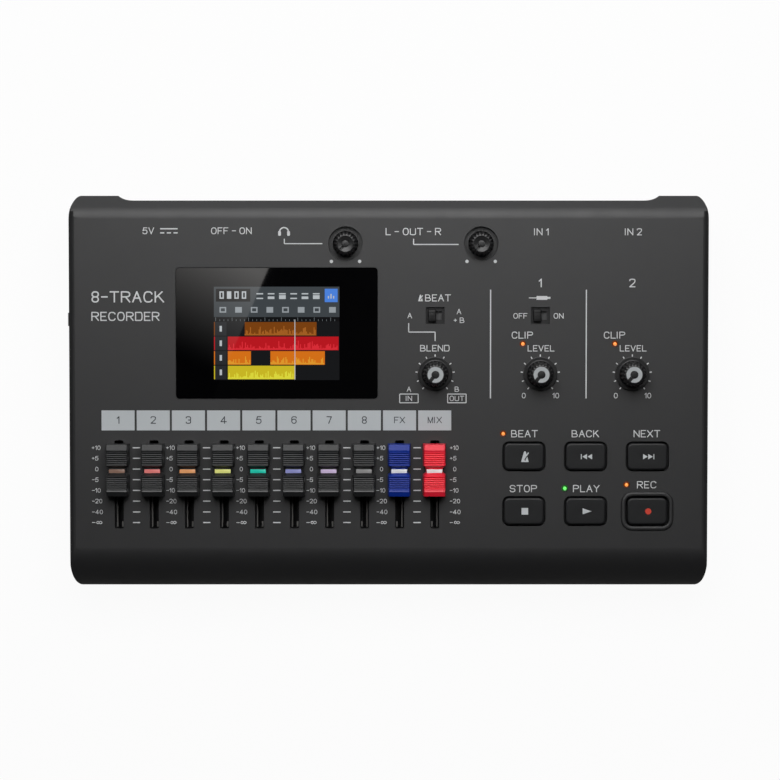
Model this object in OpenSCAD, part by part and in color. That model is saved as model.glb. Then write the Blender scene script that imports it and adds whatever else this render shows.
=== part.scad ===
// Multitrack recorder: a low wedge-shaped desktop case with ten slide faders, five knobs,
// six sprung keys, three slide switches, a display, rear sockets, a battery bay and a card slot.
// Sizes are in millimetres. X runs to the right, Y to the rear and Z up.
// The origin lies on the table under the middle of the case.
// Places on the case are given for its usual width and depth, and spread with both.
// Places on the sloping panel are given as x, v and w: v runs up the slope to the rear,
// and w stands square to the panel, with w = 0 on its outer face.

/* [Case] */
// Width of the case
body_w = 249.6; // [226:0.2:272]
// Depth of the case from the front lip to the rear ears
body_d = 152.8; // [138.6:0.2:166]
// Height of the panel above the table at the middle of the case
panel_h = 38.5; // [38:0.5:46]
// Slope of the panel in degrees, rising to the rear
panel_tilt = 3; // [2:0.5:4]
// Thickness of the case walls
wall = 2.4; // [2:0.1:3]
// Radius of the rolled front lip
front_r = 16.5; // [12:0.5:18]
// Rounding of the long side edges of the panel
edge_r = 2.5; // [1:0.1:4]
// Width in plan of a front corner's curve
corner_front_w = 4.7; // [2:0.1:8]
// Length in plan of a front corner's curve
corner_front_l = 12.5; // [4:0.5:14]
// How full a front corner's curve is: 2 is a plain oval, more is squarer
corner_front_full = 2.45; // [1.6:0.05:3]
// Width in plan of a rear corner's curve
corner_rear_w = 4.8; // [2:0.1:8]
// Length in plan of a rear corner's curve
corner_rear_l = 9.4; // [4:0.1:10]
// How full a rear corner's curve is: 2 is a plain oval, less is slacker
corner_rear_full = 1.75; // [1.5:0.05:3]
// Corner radius of the case's inside
corner_inner_r = 5; // [2:0.5:6]
// Width of each rear ear beside the socket bay
ear_w = 19.4; // [14:0.1:22]
// Length of the sweep from an ear down to the rear edge
ear_blend = 7; // [3:0.5:9]
// How far the ears stand out behind the rear edge
ear_step = 1.9; // [1:0.1:3]
// Length of the rear bevel, up to the line where its plane meets the panel's
bevel_l = 6.6; // [5.8:0.1:7.8]
// Radius of the roll from the panel into the rear bevel
roll_r = 10.5; // [4:0.5:12]
// Angle of the rear bevel below the panel in degrees
bevel_angle = 28; // [15:1:40]
// Depth of the joint between the two case halves below the panel
part_depth = 18.5; // [18:0.5:22]
// Chamfer along the lower front edge
under_cut = 5; // [2:0.5:7]
// Chamfer along the lower side edges
side_cut = 3; // [1:0.5:4]
// Distance of the socket opening from each side of the case
rear_open_side = 14.5; // [14:0.5:15]
// Height of the rear wall left standing above the floor
rear_sill = 2; // [1:0.5:4]
// Height of the rear wall left hanging under the bevel
rear_lip = 4.5; // [3:0.5:6]
// Thickness of the socket plate
rear_plate_t = 2; // [1.5:0.1:2.5]
// Overlap of the socket plate behind the case walls
rear_plate_lap = 1.6; // [1:0.1:2]

/* [Feet and screws] */
// Height of the feet under the case
foot_h = 2; // [1.5:0.1:4]
// Diameter of a foot
foot_d = 12; // [8:0.5:14]
// Depth of the seat of a foot in the case floor
foot_seat = 0.8; // [0.4:0.1:1.2]
// Distance of the feet from the side of the case
foot_side = 20; // [17:0.5:26]
// Distance of the feet from the middle line, front and rear
foot_v = 58; // [50:1:60]
// Diameter of the case screws
case_screw_d = 3; // [2.5:0.1:3.5]
// Length of the case screws under the head
case_screw_l = 17; // [15:0.5:18]
// Depth of a case screw's seat below the joint of the halves
case_screw_seat = 10; // [8:0.5:11]
// Diameter of a case screw's head
case_head_d = 5.4; // [4.5:0.1:6]
// Height of a screw head
head_h = 1.8; // [1.2:0.1:2]
// Wall of a screw post around its hole or well
post_wall = 1.1; // [0.8:0.1:1.4]
// Distance of the screw posts from the inner side wall
post_side = 5.1; // [4.8:0.1:6]
// Distance of the outer screw posts from the middle one
post_pitch = 59; // [54:1:60]
// Distance of the middle screw posts behind the middle line
post_mid_y = 1; // [0:0.5:4]
// Diameter of the board screws
board_screw_d = 2.6; // [2:0.1:3]
// Diameter of a board screw's head
board_head_d = 5; // [4.2:0.1:5.4]

/* [Boards] */
// Depth of the control board's top face below the panel
board_depth = 10.2; // [9.8:0.1:10.8]
// Thickness of the boards
board_t = 1.6; // [1.2:0.1:2]
// Distance of the control board from the side walls
board_side = 10.1; // [10:0.1:12]
// Front edge of the control board up the slope
board_front_v = -63; // [-66:0.5:-62]
// Rear edge of the control board up the slope
board_rear_v = 64; // [63:0.5:65]
// Clearance of the control board beside the input sockets
notch_side = 2.9; // [1.9:0.1:3.4]
// Clearance of the control board in front of the input sockets
notch_front = 5.3; // [4.8:0.1:7.8]
// Height of the posts that carry the socket board above the floor
standoff_h = 2; // [1.5:0.1:2.5]
// Diameter of a board post
board_post_d = 6; // [5:0.1:6.4]
// Front edge of the socket board
main_front_y = 13; // [11:0.5:14]
// Distance of the socket board from the side of the case
main_side = 14.5; // [14:0.5:18]

/* [Faders] */
// Place across the panel of the first fader
fader_first_x = -105.3; // [-106:0.1:-105]
// Distance from fader to fader
fader_pitch = 13.7; // [13:0.05:13.8]
// Middle of the fader slots up the slope
slot_v = -36.3; // [-37:0.1:-36]
// Travel of a fader
fader_travel = 30; // [26:0.5:31]
// Rest place of the faders above the middle of the slot
fader_rest = 6; // [0:0.5:8]
// Width of a fader slot in the panel
slot_w = 3.5; // [2.4:0.1:4]
// Corner radius of a fader slot
slot_r = 0.5; // [0.2:0.1:1]
// Width of a fader lever along the slot
lever_l = 4; // [3:0.1:5]
// Thickness of a fader lever
lever_t = 1.2; // [0.8:0.1:1.6]
// Height of a fader lever above the panel
lever_top = 6.6; // [5:0.1:7]
// Width of a fader's track housing
track_w = 9; // [7:0.1:10]
// Length of a fader's track housing
track_l = 45; // [42:0.5:46]
// Height of a fader's track housing
track_h = 6.5; // [5.5:0.1:6.8]
// Floor of a fader's track housing
track_floor = 1.2; // [0.8:0.1:1.6]
// Length of a fader cap at its foot
cap_l = 20.8; // [16:0.1:22]
// Length of a fader cap at its crown
cap_crown_l = 16; // [12:0.1:18]
// Width of a fader cap at its foot
cap_w = 9.1; // [7:0.1:10]
// Width of a fader cap at its crown
cap_crown_w = 8.5; // [6.5:0.1:9]
// Width of a fader cap at its waist
cap_waist_w = 6.5; // [5:0.1:7]
// Gap under a fader cap
cap_gap = 0.9; // [0.5:0.1:1.5]
// Height of a fader cap
cap_h = 8.6; // [8:0.1:11]
// Depth of the finger dip across a fader cap
cap_dip = 1.9; // [1:0.1:2.2]
// Distance from rib to rib on a fader cap
rib_pitch = 0.8; // [0.7:0.05:0.8]
// Depth of the grooves between the ribs of a fader cap
rib_depth = 0.35; // [0.1:0.05:0.5]

/* [Knobs] */
// Place up the slope of the two level knobs
level_v = 57.7; // [56:0.1:57.8]
// Place across the panel of the phones level knob
phones_knob_x = -16.8; // [-20:0.1:-15]
// Place across the panel of the output level knob
output_knob_x = 36; // [30:0.1:36.5]
// Place up the slope of the balance and gain knobs
gain_v = 7.1; // [4:0.1:9]
// Place across the panel of the balance knob
balance_x = 18.1; // [16:0.1:20]
// Place across the panel of the first gain knob
gain_x = 59.1; // [57:0.1:60]
// Distance between the two gain knobs
gain_pitch = 35.9; // [34:0.1:36.5]
// Turn of a knob from end to end in degrees
knob_turn = 280; // [260:5:300]
// Diameter of a gain knob's flange
flange_d = 12.9; // [11:0.1:14]
// Diameter of a knob's grip at its foot
grip_d = 9.2; // [9:0.1:11]
// Diameter of a knob at its crown
crown_d = 6.7; // [6.4:0.1:8]
// Height of a gain knob's crown above the panel
gain_top = 10.5; // [9:0.1:13]
// Height of a level knob's crown above the panel
level_top = 6.5; // [5:0.1:8]
// Gap under a knob
knob_gap = 0.5; // [0.3:0.1:0.8]
// Diameter of the wells around the level knobs
well_d = 13.4; // [12.4:0.1:15]
// Depth of the wells around the level knobs
well_depth = 3.2; // [2:0.1:3.2]
// Floor of the wells around the level knobs
well_floor = 1.5; // [1.2:0.1:1.6]
// Diameter of the knob shafts
shaft_d = 6; // [5:0.1:6]
// Width of a rotary control's body
pot_w = 10; // [9:0.1:11]
// Depth of a rotary control's body
pot_l = 11; // [9:0.1:11]
// Height of a rotary control's body
pot_h = 5; // [4:0.1:5.2]

/* [Keys, switches and lamps] */
// Place across the panel of the first key column
key_x = 52.8; // [52:0.1:54]
// Distance from key column to key column
key_pitch_x = 24.1; // [22:0.1:24.4]
// Place up the slope of the upper key row
key_v = -25.3; // [-26:0.1:-25]
// Distance from key row to key row
key_pitch_v = 21.4; // [20.8:0.1:22]
// Width of a key
key_w = 15.6; // [12:0.1:16]
// Length of a key
key_l = 10.4; // [8:0.1:10.6]
// Corner radius of a key
key_r = 2; // [0.5:0.1:3]
// Height of a key above the panel
key_top = 1.2; // [0.9:0.1:2.5]
// Travel of a key
key_travel = 0.8; // [0.4:0.1:0.9]
// Width of the rim around the record key
guard_w = 1.6; // [0.8:0.1:2]
// Height of the rim around the record key
guard_h = 0.8; // [0.3:0.1:1.5]
// Side of a key switch's body
tact_w = 6; // [5:0.1:7]
// Height of a key switch's body
tact_h = 3.5; // [2.5:0.1:3.6]
// Diameter of a key switch's stem
tact_stem_d = 3.3; // [2.5:0.1:3.5]
// Place up the slope of the two panel switches
switch_v = 29.7; // [26:0.1:32]
// Width of a panel switch's pocket
switch_w = 7.3; // [6.5:0.1:9]
// Length of a panel switch's pocket
switch_l = 6.6; // [6:0.1:8]
// Depth of a panel switch's pocket
switch_depth = 1.3; // [0.8:0.1:1.4]
// Width of a panel switch's thumb piece
thumb_w = 3.1; // [2.5:0.1:3.4]
// Length of a panel switch's thumb piece
thumb_l = 4.8; // [4:0.1:5.2]
// Height of a panel switch's thumb piece above the panel
thumb_top = 0.6; // [0:0.1:2]
// Travel of a panel switch
switch_travel = 2.4; // [2:0.1:2.6]
// Travel of the power switch
power_travel = 3.6; // [3:0.1:4]
// Diameter of a lamp's lens
lamp_d = 2.2; // [1.8:0.1:3]

/* [Display] */
// Place across the panel of the display
display_x = -43.6; // [-45:0.1:-42]
// Place up the slope of the display
display_v = 22.8; // [21:0.1:24]
// Width of the display window
window_w = 78.4; // [74:0.1:80]
// Length of the display window
window_l = 50.9; // [48:0.1:52]
// Corner radius of the display window
window_r = 1.2; // [0.5:0.1:3]
// Thickness of the display window
window_t = 1.6; // [1.2:0.1:2]
// Drop of the display window below the panel
window_drop = 0.25; // [0:0.05:0.4]
// Width of the display module
lcd_w = 60.4; // [58:0.1:64]
// Length of the display module
lcd_l = 43.6; // [42:0.1:45]
// Thickness of the display module
lcd_t = 2.6; // [2:0.1:3]

/* [Rear sockets] */
// Place across the case of the power inlet
usb_x = -89.2; // [-92:0.1:-88]
// Place across the case of the power switch
power_x = -61.2; // [-63:0.1:-60]
// Place across the case of the phones socket
phones_x = -40.9; // [-43:0.1:-39]
// Place across the case of the left output socket
output_x = -0.5; // [-3:0.1:1]
// Distance between the two output sockets
output_pitch = 20.9; // [18:0.1:22]
// Distance of the second input socket from the right side of the case
input_side = 29.5; // [28.9:0.1:29.9]
// Diameter of the plug bore of the sockets
plug_bore_d = 6.5; // [6.4:0.05:6.6]
// Depth of the plug bore
plug_bore_l = 26; // [20:0.5:27]
// Diameter of a phone socket's threaded collar
collar_d = 9; // [8.6:0.1:10]
// Height of a phone socket's body
jack_h = 12; // [11:0.1:13]
// Width of a phone socket's body
jack_w = 14; // [12:0.1:16]
// Length of a socket's body
jack_l = 24; // [22:0.5:25]
// Across-corner size of a socket nut
nut_d = 13; // [12:0.1:14]
// Thickness of a socket nut
nut_t = 2.2; // [1.5:0.1:2.5]
// Width of an input socket's body
combo_w = 25; // [24.6:0.1:27]
// Height of an input socket's body
combo_h = 26; // [24.6:0.1:27]
// Diameter of an input socket's round face
combo_face_d = 23.6; // [22:0.1:24.4]
// Outer diameter of the plug groove in an input socket
groove_d = 19.6; // [19:0.1:20]
// Diameter of the core inside the plug groove
core_d = 15.8; // [15.6:0.1:16]

/* [Battery bay and card slot] */
// Diameter of a cell
cell_d = 14.2; // [13.8:0.1:14.5]
// Length of a cell with its nub
cell_l = 50.2; // [49.5:0.1:50.5]
// Gap between two cells
cell_gap = 0.3; // [0.2:0.1:0.6]
// Middle of the battery bay
bay_y = -27; // [-28:0.5:-26]
// Room for a contact at each end of a cell
contact_room = 2.6; // [2:0.1:3.2]
// Walls of the battery bay
bay_wall = 1.5; // [1.2:0.1:2]
// Thickness of the battery door
door_t = 2; // [1.6:0.1:2.2]
// Overlap of the battery door past the bay
door_lap = 2; // [1.4:0.1:3]
// Width of the tongues along the battery door
tongue_w = 1.2; // [0.8:0.1:1.6]
// Length of the finger ribs across the battery door
grip_rib_w = 26; // [16:1:40]
// Height of the finger ribs below the battery door
grip_rib_h = 0.5; // [0.3:0.1:1]
// Middle of the card slot up the slope
card_v = 27.9; // [26:0.1:30]
// Length of the card door
card_door_l = 28.8; // [27.6:0.1:30]
// Height of the opening behind the card door
card_door_h = 5.6; // [5:0.1:5.8]
// Thickness of the card door
card_door_t = 2; // [1.6:0.1:2]
// Width of the finger tab on the card door
card_tab_w = 5.2; // [4:0.1:8]
// How far the finger tab stands out of the case
card_tab_out = 1.2; // [0.6:0.1:2]
// Width of the card socket
card_socket_l = 26; // [25:0.1:28]
// Depth of the card socket into the case
card_socket_w = 27; // [24:0.1:28]
// Height of the card socket
card_socket_h = 3; // [2.8:0.1:3.4]

/* [Clearances] */
// Gap around pieces that slide or press
slide_gap = 0.3; // [0.2:0.05:0.4]
// Gap around a key in its opening
key_gap = 0.7; // [0.3:0.05:0.8]
// Gap around a seated piece
seat_gap = 0.2; // [0.1:0.05:0.3]
// Radial gap around a shaft, pin or screw in its hole
run_gap = 0.05; // [0.03:0.01:0.1]
// Gap between stacked pieces
stack_gap = 0.1; // [0.05:0.05:0.15]

/* [Hidden] */
TRACKS = 8;
$fn = 48;

// Steps in a rounded corner and in the front lip
corner_steps = 4;
lip_steps = 12;
// Longer than anything in the case, for cutting tools
reach = 400;

// Width and depth of the case that places on it are given for, and how far they spread
design_w = 249.6;
design_d = 152.8;
across = body_w / design_w;
along = body_d / design_d;

// Case edges in Y
y_front = -body_d / 2;
y_rear = body_d / 2;
y_back = y_rear - ear_step;
half_w = body_w / 2;
floor_z = foot_h + wall;
bevel_start = y_rear - bevel_l;

// Middle of the front lip's arc
lip_y = y_front + front_r;
lip_z = panel_h + lip_y * tan(panel_tilt) - front_r / cos(panel_tilt);

// Opening in the rear wall for the socket plate
rear_open_w = 2 * (half_w - rear_open_side);
rear_open_low = floor_z + rear_sill;
rear_plate_y = y_back - wall - stack_gap;

// Fader places across the panel
fader_count = TRACKS + 2;
fader_xs = [for (k = [0 : fader_count - 1]) across * (fader_first_x + k * fader_pitch)];
slot_at = along * slot_v;
slot_l = fader_travel + lever_l + 2 * slide_gap;
rib_count = 6;
dip_l = 3.6;
line_l = 1.7;
crown_fall = 0.4;

// Knob places on the panel
level_knob_xs = across * [phones_knob_x, output_knob_x];
flange_knob_xs = across * [balance_x, gain_x, gain_x + gain_pitch];
level_at = along * level_v;
gain_at = along * gain_v;
shaft_hole_d = shaft_d + 1;
pot_floor = 1;
knob_crown_t = 2.4;
pointer_w = 1;
pointer_depth = 0.6;

// Key places on the panel, row by row
key_places = [for (r = [0 : 1], c = [0 : 2])
    [across * (key_x + c * key_pitch_x), along * (key_v - r * key_pitch_v)]];
key_flange = 1;
key_flange_t = 1.1;
tact_floor = 0.8;
play_index = 4;
record_index = 5;

// Lamp places on the panel: two peak lamps, then those of the click, play and record keys
peak_lamp_step = [-6.8, 11.6];
key_lamp_step = [-8.1, 8.9];
guard_lamp_step = 1.4;
// Height at which the sides of the record key's rim start to slope, and how far they slope in
guard_foot = guard_h * 0.4;
guard_slope = guard_w / 4;
lamp_places = [
    [flange_knob_xs[1], gain_at] + peak_lamp_step, [flange_knob_xs[2], gain_at] + peak_lamp_step,
    key_places[0] + key_lamp_step, key_places[play_index] + key_lamp_step,
    key_places[record_index] + key_lamp_step + [0, guard_lamp_step]];
lamp_rim = 0.4;
lamp_foot_d = lamp_d + 2 * lamp_rim;
lamp_rise = 0.2;

// Panel switches sit above the balance knob and the first gain knob
panel_switch_xs = [flange_knob_xs[0], flange_knob_xs[1]];
switch_at = along * switch_v;
stem_w = thumb_w - 0.9;
stem_l = thumb_l - 2.2;
switch_slot_w = stem_w + switch_travel + 2 * slide_gap;
switch_slot_l = stem_l + 2 * slide_gap;
switch_housing_h = 4.4;
switch_housing_wall = 1.5;

// Screw places
post_x = half_w - wall - post_side;
post_ys = along * [post_mid_y - post_pitch, post_mid_y, post_mid_y + post_pitch];
head_gap = 0.4;
case_well_d = case_head_d + 2 * head_gap;
case_post_d = case_well_d + 2 * post_wall;
recess_l = 3;
recess_w = 0.8;
recess_depth = 1.1;
left_screw_x = -half_w + wall + 18;
right_screw_x = half_w - wall - 15;
board_front = along * board_front_v;
board_rear = along * board_rear_v;
rear_screw_in = 8;
front_screw_in = 3.3;
knob_screw_step = 15;
lamp_screw_step = 13;
key_screw_step = [-18.8, -9.3];
mid_screw_v = -4;
board_screw_places = [
    [left_screw_x, board_rear - rear_screw_in],
    [(level_knob_xs[0] + level_knob_xs[1]) / 2, level_at],
    [left_screw_x, along * mid_screw_v],
    [(flange_knob_xs[0] + flange_knob_xs[1]) / 2, gain_at - knob_screw_step],
    [right_screw_x, gain_at + lamp_screw_step], key_places[3] + key_screw_step,
    [right_screw_x, board_front + front_screw_in]];

// Rear sockets
phone_jack_xs = across * [phones_x, output_x, output_x + output_pitch];
combo_xs = [half_w - input_side - across * gain_pitch, half_w - input_side];
usb_at = across * usb_x;
power_at = across * power_x;
jack_front = rear_plate_y - rear_plate_t - stack_gap;
collar_out = 1;
collar_end = rear_plate_y + nut_t + collar_out;
combo_out = 1.5;
combo_end = rear_plate_y + combo_out;
pin_ring = 5.5;
pin_hole_d = 2.5;
groove_l = 12;
usb_w = 9;
usb_h = 3.3;
usb_l = 7.5;
usb_shell_t = 0.35;
usb_tongue_w = 6.6;
usb_tongue_t = 0.7;
power_w = 3.2;
power_h = 2.4;
power_body_w = 13;
power_body_l = 7;
power_body_h = 6;
power_slot_l = 5;

// Socket board, and the notch of the control board over its tall input sockets
main_z = floor_z + standoff_h;
main_top = main_z + board_t;
main_front = along * main_front_y;
main_rear_y = jack_front - seat_gap;
socket_screw_step = 2;
main_hole_floor = 1.2;
main_screw_front = main_front + 7;
main_screw_rear = main_rear_y - 8;
main_screw_places = [
    [-half_w + main_side + 7, main_screw_front], [(usb_at + power_at) / 2, main_screw_rear - 2],
    [(phone_jack_xs[2] + combo_xs[0]) / 2 - socket_screw_step, main_screw_rear],
    [half_w - main_side - 6, main_screw_front], [0, main_screw_front]];
jack_z = main_top + jack_h / 2;
combo_z = main_top + combo_h / 2;
power_z = main_top + power_body_h / 2;
notch = [combo_xs[0] - combo_w / 2 - notch_side, jack_front - jack_l - notch_front];

// Battery bay
cell_count = 4;
cell_pitch = cell_d + cell_gap;
bay_w = cell_count * cell_pitch + cell_gap;
bay_l = cell_l + 2 * contact_room;
bay_mid = along * bay_y;
bay_front = bay_mid - bay_l / 2;
bay_rear = bay_mid + bay_l / 2;
cell_z = foot_h + door_t + cell_gap + cell_d / 2;
bay_top = cell_z + cell_d / 2 + cell_gap;
door_w = bay_w + 2 * door_lap;
door_rear = bay_rear + door_lap;
pad_t = 1.5;
contact_t = 0.5;
contact_w = 9;
contact_h = 8;
stud_r = 3;
spring_r = 4.4;
spring_tip_r = 2.6;
nub_l = 1.2;
nub_d = 5.4;
can_l = cell_l - nub_l;
grip_rib_count = 5;
grip_rib_l = 1.1;
grip_rib_pitch = 2.2;
grip_rib_in = 14.3;

// Display
display_at = [across * display_x, along * display_v];
bezel = 3;
flex_w = 18;
flex_lap = 9;
flex_t = 0.3;
flex_bend = 3;
flex_gap = 3.8;

// Ribbon between the two boards
ribbon_x = -66;
ribbon_w = 20;
ribbon_t = 0.6;
ribbon_in = 8;
plug_w = 24;
plug_l = 5;
plug_h = 2.6;

// Card slot in the left wall, level with the socket under the control board
card_at = along * card_v;
card_w = -(board_depth + board_t + card_socket_h / 2);
card_hinge_w = card_w - card_door_h / 2 + slide_gap / 2 + card_door_t / 2;
card_hinge_x = -half_w + card_door_t / 2;
card_pin_d = 1;
card_pin_l = 1;
card_tab_h = 1.5;
card_gap = 0.6;
card_mouth_w = 24.4;
card_mouth_h = 2.3;
card_floor = 0.4;
card_ledge = 1;

// Height above the table of the joint between the halves at a depth y
function part_z(y) = panel_h + y * tan(panel_tilt) - part_depth / cos(panel_tilt);
// Point of the side view at a distance v up the slope and a height w above the panel
function panel_yz(v, w) = [v * cos(panel_tilt) - w * sin(panel_tilt),
                           panel_h + v * sin(panel_tilt) + w * cos(panel_tilt)];
// Height of the rear bevel at a depth y, inset by i
function bevel_z(i, y) = let (b = panel_yz(bevel_start - i * tan(bevel_angle / 2), -i))
    b[1] - (y - b[0]) * tan(bevel_angle - panel_tilt);
// Points of an arc about a centre c, from angle a to angle b in n steps
function arc(c, r, a, b, n) = [for (k = [0 : n]) let (t = a + (b - a) * k / n)
    [c[0] + r * cos(t), c[1] + r * sin(t)]];
// A share of an oval's half axis, from the share c of a plain oval's, for a curve of fullness n
function fuller(c, n) = sign(c) * pow(abs(c), 2 / n);
// Points of a case corner in plan: a quarter of an oval of fullness n, from angle a, w wide and l long
function corner(side, y, w, l, n, a) = [for (k = [0 : lip_steps]) let (t = a + 90 * k / lip_steps)
    [side * (half_w - w) + w * fuller(cos(t), n), y + l * fuller(sin(t), n)]];
// Points of the hollow sweep from an ear down to the rear edge, with t from 0 at the ear to 1
function ear_sweep(side, t) = [side * (half_w - ear_w - ear_blend * t),
                               y_back + ear_step * pow(1 - t, 3)];

module on_panel(x, v, w) {
    translate([0, 0, panel_h]) rotate([panel_tilt, 0, 0]) translate([x, v, w]) children();
}

module rounded_rect(w, l, r) {
    polygon(concat(
        arc([w / 2 - r, l / 2 - r], r, 0, 90, corner_steps),
        arc([-w / 2 + r, l / 2 - r], r, 90, 180, corner_steps),
        arc([-w / 2 + r, -l / 2 + r], r, 180, 270, corner_steps),
        arc([w / 2 - r, -l / 2 + r], r, 270, 360, corner_steps)));
}

module rounded_slab(w, l, r, h) {
    linear_extrude(h) rounded_rect(w, l, r);
}

module centred_box(w, l, h) {
    translate([-w / 2, -l / 2, 0]) cube([w, l, h]);
}

// Outline of the case from the side, inset by i
module side_outline(i) {
    k = i * tan(22.5);
    end = i > 0 ? y_back - i : y_rear;
    roll = panel_yz(bevel_start - roll_r * tan(bevel_angle / 2), -roll_r);
    up = 90 + panel_tilt;
    polygon(concat(
        [[y_front + i, foot_h + under_cut + k], [y_front + under_cut + k, foot_h + i],
         [end, foot_h + i], [end, bevel_z(i, end)]],
        arc(roll, roll_r - i, up - bevel_angle, up, lip_steps),
        arc([lip_y, lip_z], front_r - i, up, 180, lip_steps)));
}

// Outline of the case from above, with the two rear ears
module plan_outline() {
    front = y_front + corner_front_l;
    rear = y_rear - corner_rear_l;
    polygon(concat(
        corner(-1, front, corner_front_w, corner_front_l, corner_front_full, 180),
        corner(1, front, corner_front_w, corner_front_l, corner_front_full, 270),
        corner(1, rear, corner_rear_w, corner_rear_l, corner_rear_full, 0),
        [for (k = [0 : lip_steps]) ear_sweep(1, k / lip_steps)],
        [for (k = [lip_steps : -1 : 0]) ear_sweep(-1, k / lip_steps)],
        corner(-1, rear, corner_rear_w, corner_rear_l, corner_rear_full, 90)));
}

module side_form(i) {
    rotate([90, 0, 90])
        linear_extrude(reach, center = true)
            side_outline(i);
}

module outer_form() {
    intersection() {
        side_form(0);
        linear_extrude(reach) plan_outline();
        on_panel(0, 0, 0)
            rotate([90, 0, 0])
                linear_extrude(reach, center = true)
                    polygon(concat(
                        arc([half_w - edge_r, -edge_r], edge_r, 0, 90, corner_steps),
                        arc([-half_w + edge_r, -edge_r], edge_r, 90, 180, corner_steps),
                        [[-half_w, -reach / 2], [half_w, -reach / 2]]));
        rotate([90, 0, 0])
            linear_extrude(reach, center = true)
                polygon([
                    [-half_w + side_cut, foot_h], [half_w - side_cut, foot_h],
                    [half_w, foot_h + side_cut], [half_w, reach / 2],
                    [-half_w, reach / 2], [-half_w, foot_h + side_cut]]);
    }
}

module inner_form() {
    intersection() {
        side_form(wall);
        translate([0, (y_front + y_back) / 2, 0])
            rounded_slab(body_w - 2 * wall, y_back - y_front - 2 * wall, corner_inner_r, reach);
    }
}

module whole_block() {
    translate([-reach / 2, -reach / 2, 0]) cube([reach, reach, reach / 2]);
}

module above_parting() {
    on_panel(0, 0, -part_depth) centred_box(reach, reach, reach / 2);
}

module below_parting() {
    on_panel(0, 0, -part_depth - reach / 2) centred_box(reach, reach, reach / 2);
}

module at_case_screws() {
    for (side = [-1, 1], y = post_ys)
        translate([side * post_x, y, part_z(y)]) children();
}

module at_board_screws() {
    for (p = board_screw_places)
        on_panel(p[0], p[1], -board_depth) children();
}

module at_main_screws() {
    for (p = main_screw_places)
        translate([p[0], p[1], main_z]) children();
}

module at_display(w) {
    on_panel(display_at[0], display_at[1], w) children();
}

// Opening of the rear wall between the ears
module rear_opening() {
    top = bevel_z(0, y_back) - rear_lip;
    translate([-rear_open_w / 2, y_back - wall - 1, rear_open_low])
        cube([rear_open_w, wall + ear_step + 2, top - rear_open_low]);
}

// Upper half of the case: the panel with its rolled lip, posts, wells and openings
module top_case() {
    color("#3c3d3e") difference() {
        union() {
            intersection() {
                outer_form();
                above_parting();
                union() {
                    difference() {
                        whole_block();
                        inner_form();
                    }
                    at_case_screws() cylinder(d = case_post_d, h = reach / 2);
                    at_board_screws() cylinder(d = board_post_d, h = board_depth);
                    at_display(-window_t - window_drop - lcd_t / 2)
                        centred_box(window_w + 2 * bezel, window_l + 2 * bezel,
                                    window_t + window_drop + lcd_t / 2);
                    for (x = level_knob_xs)
                        on_panel(x, level_at, -well_depth - well_floor)
                            cylinder(d = well_d + 2 * well_floor, h = well_depth + well_floor);
                }
            }
            record_guard();
        }
        panel_openings();
        at_case_screws() translate([0, 0, -1])
            cylinder(d = case_screw_d + 2 * run_gap, h = case_screw_l - case_screw_seat + 2.5);
        at_board_screws() translate([0, 0, -1])
            cylinder(d = board_screw_d + 2 * run_gap, h = board_depth - wall);
        rear_opening();
        card_opening();
    }
}

// Block of a key's outline, larger all round by a gap
module key_slab(more, h) {
    rounded_slab(key_w + 2 * more, key_l + 2 * more, key_r + more, h);
}

// Raised rim around the record key, sloped off on both sides
module record_guard() {
    p = key_places[record_index];
    on_panel(p[0], p[1], 0)
        difference() {
            hull() {
                translate([0, 0, -wall / 2]) key_slab(key_gap + guard_w, wall / 2 + guard_foot);
                key_slab(key_gap + guard_w - guard_slope, guard_h);
            }
            hull() {
                key_slab(key_gap, guard_foot);
                translate([0, 0, guard_h]) key_slab(key_gap + guard_slope, 1);
            }
        }
}

module panel_openings() {
    for (x = fader_xs)
        on_panel(x, slot_at, -wall - 1) rounded_slab(slot_w, slot_l, slot_r, wall + 2);
    at_display(-window_t - window_drop)
        rounded_slab(window_w + 2 * seat_gap, window_l + 2 * seat_gap, window_r + seat_gap, board_depth);
    at_display(-board_depth)
        centred_box(lcd_w + 2 * slide_gap, lcd_l + 2 * slide_gap, board_depth);
    for (x = level_knob_xs) {
        on_panel(x, level_at, -well_depth) cylinder(d = well_d, h = well_depth + 1);
        on_panel(x, level_at, -board_depth) cylinder(d = shaft_hole_d, h = board_depth + 1);
    }
    for (x = flange_knob_xs)
        on_panel(x, gain_at, -board_depth) cylinder(d = shaft_hole_d, h = board_depth + 1);
    for (p = key_places)
        on_panel(p[0], p[1], -wall - 1)
            key_slab(key_gap, wall + 4);
    for (x = panel_switch_xs) {
        on_panel(x, switch_at, -switch_depth)
            rounded_slab(switch_w, switch_l, slide_gap, switch_depth + 1);
        on_panel(x, switch_at, -wall - 1) centred_box(switch_slot_w, switch_slot_l, wall + 1);
    }
    for (p = lamp_places)
        on_panel(p[0], p[1], -wall - 1) cylinder(d = lamp_d + 2 * seat_gap, h = wall + 2);
}

// Opening of the left wall behind the card door, with the holes for its hinge pins
module card_opening() {
    on_panel(-half_w - 1, card_at - card_door_l / 2 - seat_gap, card_w - card_door_h / 2)
        cube([wall + 2, card_door_l + 2 * seat_gap, card_door_h]);
    on_panel(card_hinge_x, card_at, card_hinge_w)
        rotate([90, 0, 0])
            cylinder(d = card_pin_d + 2 * run_gap, h = card_door_l + 2 * (card_pin_l + seat_gap),
                     center = true);
}

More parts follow.
